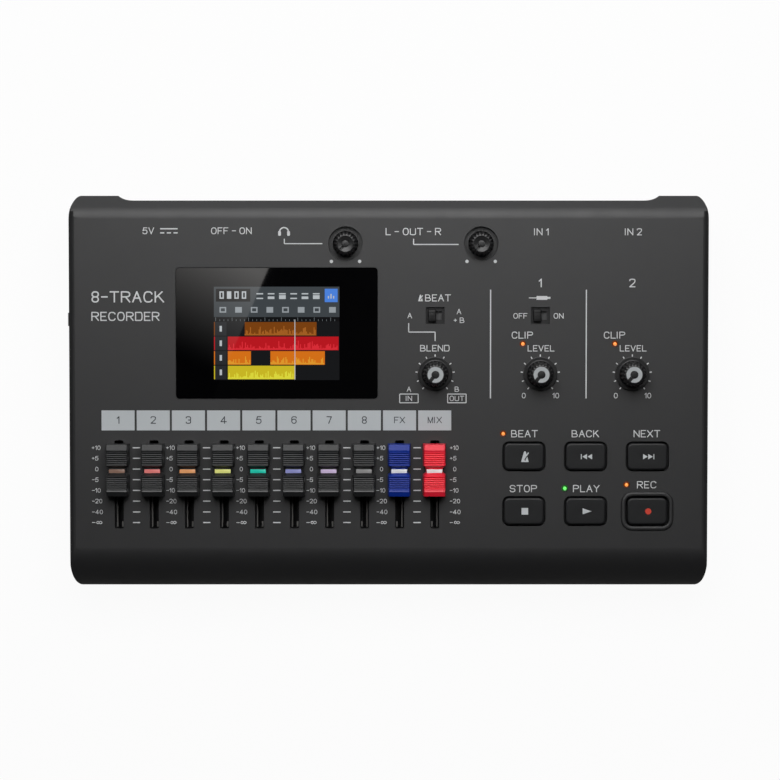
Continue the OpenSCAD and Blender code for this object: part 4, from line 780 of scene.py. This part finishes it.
# Each word has its place, its height in millimetres and its text.
scale_v = [-21.9, -26.0, -30.25, -34.4, -38.6, -42.8, -47.05, -51.2]
scale_text = ["+10", "+5", "0", "-5", "-10", "-20", "-40", "-="]
number_x = [-115.8, -86.8, -59.4, -32.0, -4.6, 24.0]
words = [(x + (1.3 if text == "0" else 0), v, 2.1 if "=" in text else 1.7, text, True)
         for x in number_x for v, text in zip(scale_v, scale_text)]
words += [(-93.5, 62.7, 2.6, "5V"), (-61.2, 62.7, 2.6, "OFF - ON"), (9.6, 62.4, 2.8, "L - OUT - R"),
          (59.4, 62.3, 2.7, "IN 1"), (95.2, 62.3, 2.7, "IN 2"), (59.0, 42.4, 3.3, "1"),
          (94.9, 42.4, 3.3, "2"),
          (51.3, 29.6, 2.1, "OFF"), (66.2, 29.6, 2.1, "ON"), (19.2, 36.6, 2.7, "BEAT"), (8.2, 29.7, 2.1, "A"),
          (27.4, 31.3, 2.1, "A"), (27.4, 27.9, 2.1, "+ B"), (18.0, 17.0, 2.5, "BLEND"),
          (52.1, 22.1, 2.7, "CLIP"), (88.0, 22.1, 2.7, "CLIP"), (59.4, 16.95, 2.4, "LEVEL"),
          (95.3, 16.95, 2.4, "LEVEL"), (52.7, -1.5, 2.1, "0"), (65.2, -1.5, 2.1, "10"),
          (88.6, -1.5, 2.1, "0"), (101.1, -1.5, 2.1, "10"), (7.9, 1.0, 2.0, "A"), (26.6, 1.0, 2.0, "B"),
          (7.9, -2.6, 2.0, "IN"), (26.6, -2.6, 2.0, "OUT"),
          (53.0, -16.4, 2.8, "BEAT"), (76.8, -16.4, 2.8, "BACK"),
          (100.8, -16.4, 2.8, "NEXT"), (52.6, -37.9, 2.8, "STOP"), (77.2, -37.9, 2.8, "PLAY"),
          (100.8, -36.4, 2.8, "REC"), (-115.6, 37.0, 4.4, "8-TRACK", True),
          (-115.6, 29.4, 3.5, "RECORDER", True)]
inked = [stroke for word in words for stroke in written(*word)]

# Scale bars, dividers, guide lines, dial ticks, boxes round two words and the sign of direct current.
half_bar, thin = 1.45, 0.42
strokes = [bar(x - half_bar, v, x + half_bar, v, thin)
           for x in (-98.5, -71.1, -43.7, -16.3, 11.1) for v in scale_v]
strokes += [bar(x, -2.6, x, 39.8, 0.45) for x in (39.7, 77.0)]
for path in ([(-40.6, 59.6), (-40.6, 57.7), (-25.8, 57.7)], [(9.7, 59.6), (9.7, 57.4), (27.2, 57.4)],
             [(7.8, 26.8), (7.8, 23.3), (18.1, 23.3), (18.1, 19.8)]):
    strokes += legs(path, 0.4)
tick_v, tick_start, tick_stop = 6.9, 6.8, 7.65
tick_turn = np.radians(90 + np.linspace(-140, 140, 11))
for x in dial_x:
    strokes += [bar(x + tick_start * c, tick_v + tick_start * s,
                    x + tick_stop * c, tick_v + tick_stop * s, thin)
                for c, s in zip(np.cos(tick_turn), np.sin(tick_turn))]
for x in (7.9, 26.6):
    left, right, low, high = x - 3.6, x + 3.6, -4.3, -0.9
    strokes += legs([(left, low), (right, low), (right, high), (left, high), (left, low)], 0.35)
strokes += [bar(-88.9, 63.5, -82.1, 63.5, 0.5)]
strokes += [bar(-88.9 + 2.6 * k, 61.9, -87.3 + 2.6 * k, 61.9, 0.5) for k in range(3)]
inked += [prism(stroke) for stroke in strokes]

# Dots at the wells, the headphone sign, the plug sign and the beat sign.
inked += [prism(disc(0.66, 20), x + d, 50.8) for x in (-16.8, 36.0) for d in (-5.5, 5.5)]
inked += [prism(bow(-40.7, 62.2, 1.75, 0.5, 0, 180))]
inked += [prism(rounded_loop(1.1, 1.9, 0.4, 4) + [-40.7 + d, 61.7]) for d in (-1.75, 1.75)]
inked += [prism(bar(x0, 36.6, x1, 36.6, width))
          for x0, x1, width in [(54.6, 57.6, 0.35), (57.6, 61.8, 1.5), (61.8, 63.0, 0.8)]]
inked += [prism(np.array(outline) * 0.62 + [12.4, 36.6]) for outline in beat_sign]
place_piece(build("panel_print", inked), pale_ink, "case")


# Floor, light and camera: a plain white floor, a broad soft lamp over the rear edge of the table with a
# weak one low behind it, a card whose glow shows in the window, and a camera that looks straight down.
def stage_sheet(name, corners):
    """A flat sheet that belongs to the studio and not to the object."""
    mesh = bpy.data.meshes.new(name)
    mesh.from_pydata(corners, [], [(0, 1, 2, 3)])
    sheet = bpy.data.objects.new(name, mesh)
    bpy.context.scene.collection.objects.link(sheet)
    material = bpy.data.materials.new(name + "_surface")
    material.use_nodes = True
    material.node_tree.nodes.clear()
    mesh.materials.append(material)
    return sheet, material.node_tree


white = (1, 1, 1, 1)
floor_far, bounce_grey, floor_grey = 3, (0.16, 0.16, 0.16, 1), (0.86, 0.86, 0.86, 1)
_, tree = stage_sheet("floor", [(-floor_far, -floor_far, 0), (floor_far, -floor_far, 0),
                                (floor_far, floor_far, 0), (-floor_far, floor_far, 0)])
rays = tree.nodes.new("ShaderNodeLightPath").outputs
camera_ray, glossy_ray, glass_ray = (Shade(tree, rays["Is %s Ray" % kind])
                                     for kind in ("Camera", "Glossy", "Transmission"))
lit_floor = camera_ray.node("ShaderNodeBsdfDiffuse", {"Color": camera_ray.mix(bounce_grey, floor_grey)})
bright_floor = camera_ray.node("ShaderNodeEmission", {"Color": white, "Strength": 1.0})
bright_share = camera_ray * 0.95 + (glossy_ray + glass_ray) * 0.06
camera_ray.node("ShaderNodeMixShader", {0: bright_share, 1: lit_floor, 2: bright_floor}).surface()

card, tree = stage_sheet("window_card", [(-0.0927, -0.02, 1.5), (-0.23, -0.02, 1.5), (-0.23, -0.18, 1.5),
                                         (-0.1625, -0.18, 1.5)])
place = source(tree, "ShaderNodeTexCoord", "Object")
rise = ((place.part(0) + 0.195) * 4.5 + (place.part(1) + 0.122) * 9.0).clamped()
place.node("ShaderNodeEmission", {"Color": (1, 0.98, 0.96, 1), "Strength": rise * rise * 1.92}).surface()
card.visible_camera = False

world = bpy.data.worlds.new("studio")
world.use_nodes = True
bpy.context.scene.world = world
tree = world.node_tree
tree.nodes.clear()
camera_ray = source(tree, "ShaderNodeLightPath", "Is Camera Ray")
low = 1 - (source(tree, "ShaderNodeTexCoord", "Generated").part(2) * 1.6).clamped()
soft = camera_ray.node("ShaderNodeBackground", {"Color": white, "Strength": low * low * 0.12 + 0.012})
plain = camera_ray.node("ShaderNodeBackground", {"Color": white, "Strength": 1.0})
camera_ray.node("ShaderNodeMixShader", {0: camera_ray, 1: soft, 2: plain}).surface("ShaderNodeOutputWorld")


def lamp(name, place, aim, width, length, power):
    """A soft rectangular lamp that hangs at a place and faces another."""
    data = bpy.data.lights.new(name, "AREA")
    data.shape, data.size, data.size_y, data.energy = "RECTANGLE", width, length, power
    held = bpy.data.objects.new(name, data)
    held.location = place
    way = np.array(place) - np.array(aim)
    held.rotation_euler = (math.acos(way[2] / np.linalg.norm(way)), 0, math.atan2(way[0], -way[1]))
    bpy.context.scene.collection.objects.link(held)


panel_middle = (0.0, 0.0, 0.04)
lamp("rear_soft_lamp", (0.0, 0.30, 0.68), panel_middle, 0.55, 0.42, 4.25)
lamp("rear_low_lamp", (0.0, 1.0, 0.3), panel_middle, 1.2, 0.4, 2.0)

camera_data = bpy.data.cameras.new("camera")
camera_data.angle = math.radians(14.45)
camera_data.clip_start, camera_data.clip_end = 0.05, 20
camera = bpy.data.objects.new("camera", camera_data)
camera.location = (0.00052, 0.00068, 1.2385)
bpy.context.scene.collection.objects.link(camera)
bpy.context.scene.camera = camera
bpy.context.scene.view_settings.view_transform = "Standard"
